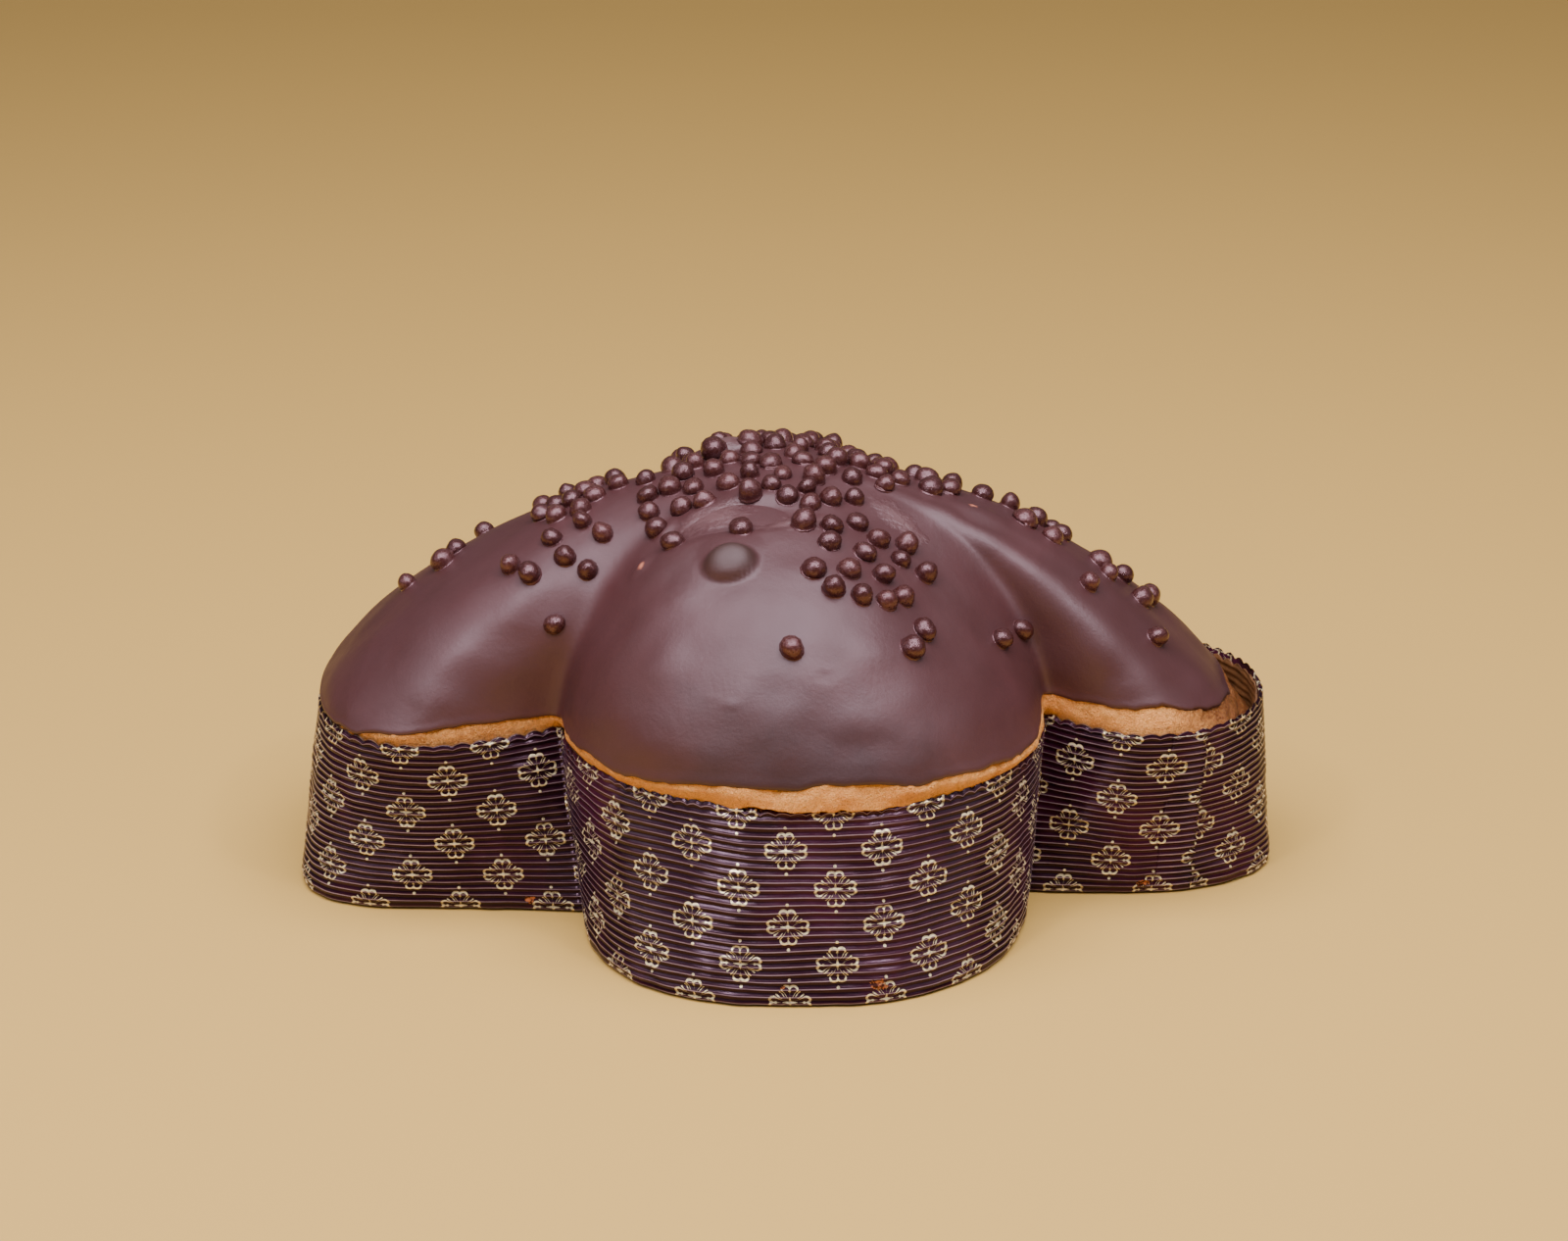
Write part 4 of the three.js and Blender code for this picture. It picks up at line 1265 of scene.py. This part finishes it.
def pearl_chocolate(settings, cake):
    """Glossy chocolate with pits, painted darker as shade, and an uneven dust, lighter or darker
    and glossier or duller from pearl to pearl, with the glaze's own colour on its collar."""
    finish = Finish("pearl chocolate")
    tone = finish.number("tone")
    colour = finish.mix(finish.ramp(tone, 0.3, 1.0, 0.0, 0.8), settings.colour,
                        scaled(settings.colour, 1.6))
    dust = finish.noise(1300, 5, 0.75)
    dust = finish.ramp(finish.math("MULTIPLY_ADD", tone, 0.08, dust), 0.56, 0.74, 0.0, 0.6)
    colour = finish.mix(dust, colour, PEARL_DUST)
    pits = finish.ramp(finish.cells(1000), 0.12, 0.24, 1.0, 0.0)
    pits = finish.math("MULTIPLY", pits, finish.ramp(finish.noise(600, 2), 0.46, 0.56))
    # Painted shade: the pits are painted darker.
    colour = finish.mix(finish.math("MULTIPLY", pits, 0.75), colour, scaled(settings.colour, 0.25))
    colour = finish.mix(finish.ramp(finish.number("collar"), 0.3, 0.9), colour, cake.glaze)
    roughness = finish.ramp(finish.noise(700, 3), 0.35, 0.65, 0.07, 0.19)
    roughness = finish.math("MULTIPLY_ADD", tone, 0.10, roughness)
    height = finish.math("SUBTRACT", finish.noise(1400, 4, 0.65), pits)
    return finish.set(Base_Color=colour, Roughness=roughness, Specular_IOR_Level=0.85,
                      Specular_Tint=(1, 0.66, 0.76), Normal=finish.bump(height, 0.0004, 0.35))


def plain_floor(settings):
    """Pale matt paper under the cake."""
    finish = Finish("plain floor")
    tint = finish.mix(finish.ramp(finish.noise(3, 2), 0.3, 0.7, 0, 0.06), settings.floor,
                      scaled(settings.floor, 0.8))
    return finish.set(Base_Color=tint, Roughness=0.9, Specular_IOR_Level=0.2)


# ---------------------------------------------------------------- operators


class COLOMBA_OT_case(bpy.types.Operator):
    """Make the printed case, its kraft lining and its glued seam"""

    bl_idname = "colomba.case"
    bl_label = "Paper case"

    def execute(self, context):
        settings = context.scene.colomba_case
        printed = printed_paper(settings)
        dress(make_print(settings), printed, "paper_case")
        dress(make_lining(settings), kraft_paper(settings), "paper_case")
        dress(make_seam(settings), printed, "paper_case")
        return {"FINISHED"}


class COLOMBA_OT_crust(bpy.types.Operator):
    """Make the baked dough with its bare band of crust"""

    bl_idname = "colomba.crust"
    bl_label = "Crust"

    def execute(self, context):
        dress(make_crust(), baked_crust(context.scene.colomba_cake), "cake")
        return {"FINISHED"}


class COLOMBA_OT_glaze(bpy.types.Operator):
    """Make the chocolate glaze and the pearls that it holds"""

    bl_idname = "colomba.glaze"
    bl_label = "Glaze and pearls"

    def execute(self, context):
        scene = context.scene
        cake = scene.colomba_cake
        dress(make_glaze(cake), chocolate_glaze(cake), "glaze")
        pearls = make_pearls(scene.colomba_pearls, cake.swell)
        dress(pearls, pearl_chocolate(scene.colomba_pearls, cake), "glaze")
        return {"FINISHED"}


# Rectangular lights, each turned to the middle of the cake: name, place, width and height, the
# setting and share of it that give the power, and colour.
LIGHTS = [
    ("overhead", (0.02, -0.32, 1.15), (1.3, 1.0), "key_power", 1, (1, 0.94, 0.98)),
    ("left", (-1.15, -0.75, 0.85), (1.8, 0.3), "side_power", 1, (1, 0.94, 0.99)),
    ("right", (1.2, -0.55, 0.8), (1.1, 0.5), "fill_power", 1, (1, 0.94, 0.98)),
    ("left glint", (-0.45, -0.75, 0.95), (0.1, 0.1), "glint_power", 1, (1, 0.96, 0.99)),
    ("right glint", (0.5, -0.6, 1.0), (0.09, 0.09), "glint_power", 0.8, (1, 0.96, 0.99)),
]
AIM = (0, 0, 0.07)

# The camera, fitted to the case's floor line, rim and silhouette.
CAMERA_PLACE = (-0.0012, -1.0495, 0.4946)
CAMERA_DOWN = 21.5  # degrees below level
LENS, SENSOR = 82.69, 36  # millimetres
FLOOR_HALF = 8.0

# Strength of the room's light at two upward directions, and its colour.
ROOM = (("From Min", 0.15), ("From Max", 0.75), ("To Min", 0.08), ("To Max", 0.36))
ROOM_COLOUR = (1.0, 0.93, 0.95)


def area_light(name, place, size, energy, colour):
    """One of the lights."""
    light = bpy.data.lights.new(name, "AREA")
    light.shape = "RECTANGLE"
    light.size, light.size_y = size
    light.energy = energy
    light.color = colour
    lamp = bpy.data.objects.new(name, light)
    lamp.location = place
    lamp.rotation_euler = (Vector(AIM) - Vector(place)).to_track_quat("-Z", "Y").to_euler()
    bpy.context.scene.collection.objects.link(lamp)


def soft_room(tree):
    """Light from all round, dim near the floor and brighter overhead, by the direction's height."""
    direction = tree.nodes.new("ShaderNodeSeparateXYZ")
    tree.links.new(tree.nodes.new("ShaderNodeTexCoord").outputs["Generated"], direction.inputs[0])
    rise = tree.nodes.new("ShaderNodeMapRange")
    tree.links.new(direction.outputs["Z"], rise.inputs["Value"])
    for key, number in ROOM:
        rise.inputs[key].default_value = number
    background = tree.nodes["Background"]
    join(tree, background.inputs["Color"], ROOM_COLOUR)
    tree.links.new(rise.outputs["Result"], background.inputs["Strength"])


class COLOMBA_OT_stage(bpy.types.Operator):
    """Lay the floor, hang the lights and set the camera"""

    bl_idname = "colomba.stage"
    bl_label = "Stage"

    def execute(self, context):
        settings = context.scene.colomba_stage
        mesh = bpy.data.meshes.new("floor")
        mesh.from_pydata([(x * FLOOR_HALF, y * FLOOR_HALF, 0)
                          for x, y in ((-1, -1), (1, -1), (1, 1), (-1, 1))], [], [(0, 1, 2, 3)])
        floor = place_in_scene("floor", mesh)
        floor.data.materials.append(plain_floor(settings))
        world = bpy.data.worlds.new("soft room")
        world.use_nodes = True
        soft_room(world.node_tree)
        context.scene.world = world
        for name, place, size, group, share, colour in LIGHTS:
            area_light(name, place, size, share * getattr(settings, group), colour)
        lens = bpy.data.cameras.new("camera")
        lens.sensor_width = SENSOR
        lens.lens = LENS
        lens.clip_start = 0.01
        camera = bpy.data.objects.new("camera", lens)
        camera.location = CAMERA_PLACE
        camera.rotation_euler = (np.radians(90 - CAMERA_DOWN), 0, 0)
        context.scene.collection.objects.link(camera)
        context.scene.camera = camera
        return {"FINISHED"}


class COLOMBA_PT_panel(bpy.types.Panel):
    """The cake's pieces and settings"""

    bl_label = "Colomba"
    bl_idname = "COLOMBA_PT_panel"
    bl_space_type = "VIEW_3D"
    bl_region_type = "UI"
    bl_category = "Colomba"

    def draw(self, context):
        for operator, group in STEPS:
            box = self.layout.box()
            box.operator(operator.bl_idname)
            for key in SETTINGS[group].__annotations__:
                box.prop(getattr(context.scene, group), key)


SETTINGS = {
    "colomba_case": CaseSettings,
    "colomba_cake": CakeSettings,
    "colomba_pearls": PearlSettings,
    "colomba_stage": StageSettings,
}
STEPS = [
    (COLOMBA_OT_case, "colomba_case"),
    (COLOMBA_OT_crust, "colomba_cake"),
    (COLOMBA_OT_glaze, "colomba_pearls"),
    (COLOMBA_OT_stage, "colomba_stage"),
]


def register():
    for group, settings in SETTINGS.items():
        bpy.utils.register_class(settings)
        setattr(bpy.types.Scene, group, PointerProperty(type=settings))
    for operator, _ in STEPS:
        bpy.utils.register_class(operator)
    bpy.utils.register_class(COLOMBA_PT_panel)


def unregister():
    bpy.utils.unregister_class(COLOMBA_PT_panel)
    for operator, _ in reversed(STEPS):
        bpy.utils.unregister_class(operator)
    for group, settings in SETTINGS.items():
        delattr(bpy.types.Scene, group)
        bpy.utils.unregister_class(settings)


def main():
    register()
    bpy.ops.colomba.case()
    bpy.ops.colomba.crust()
    bpy.ops.colomba.glaze()
    bpy.ops.colomba.stage()


if __name__ == "__main__":
    main()
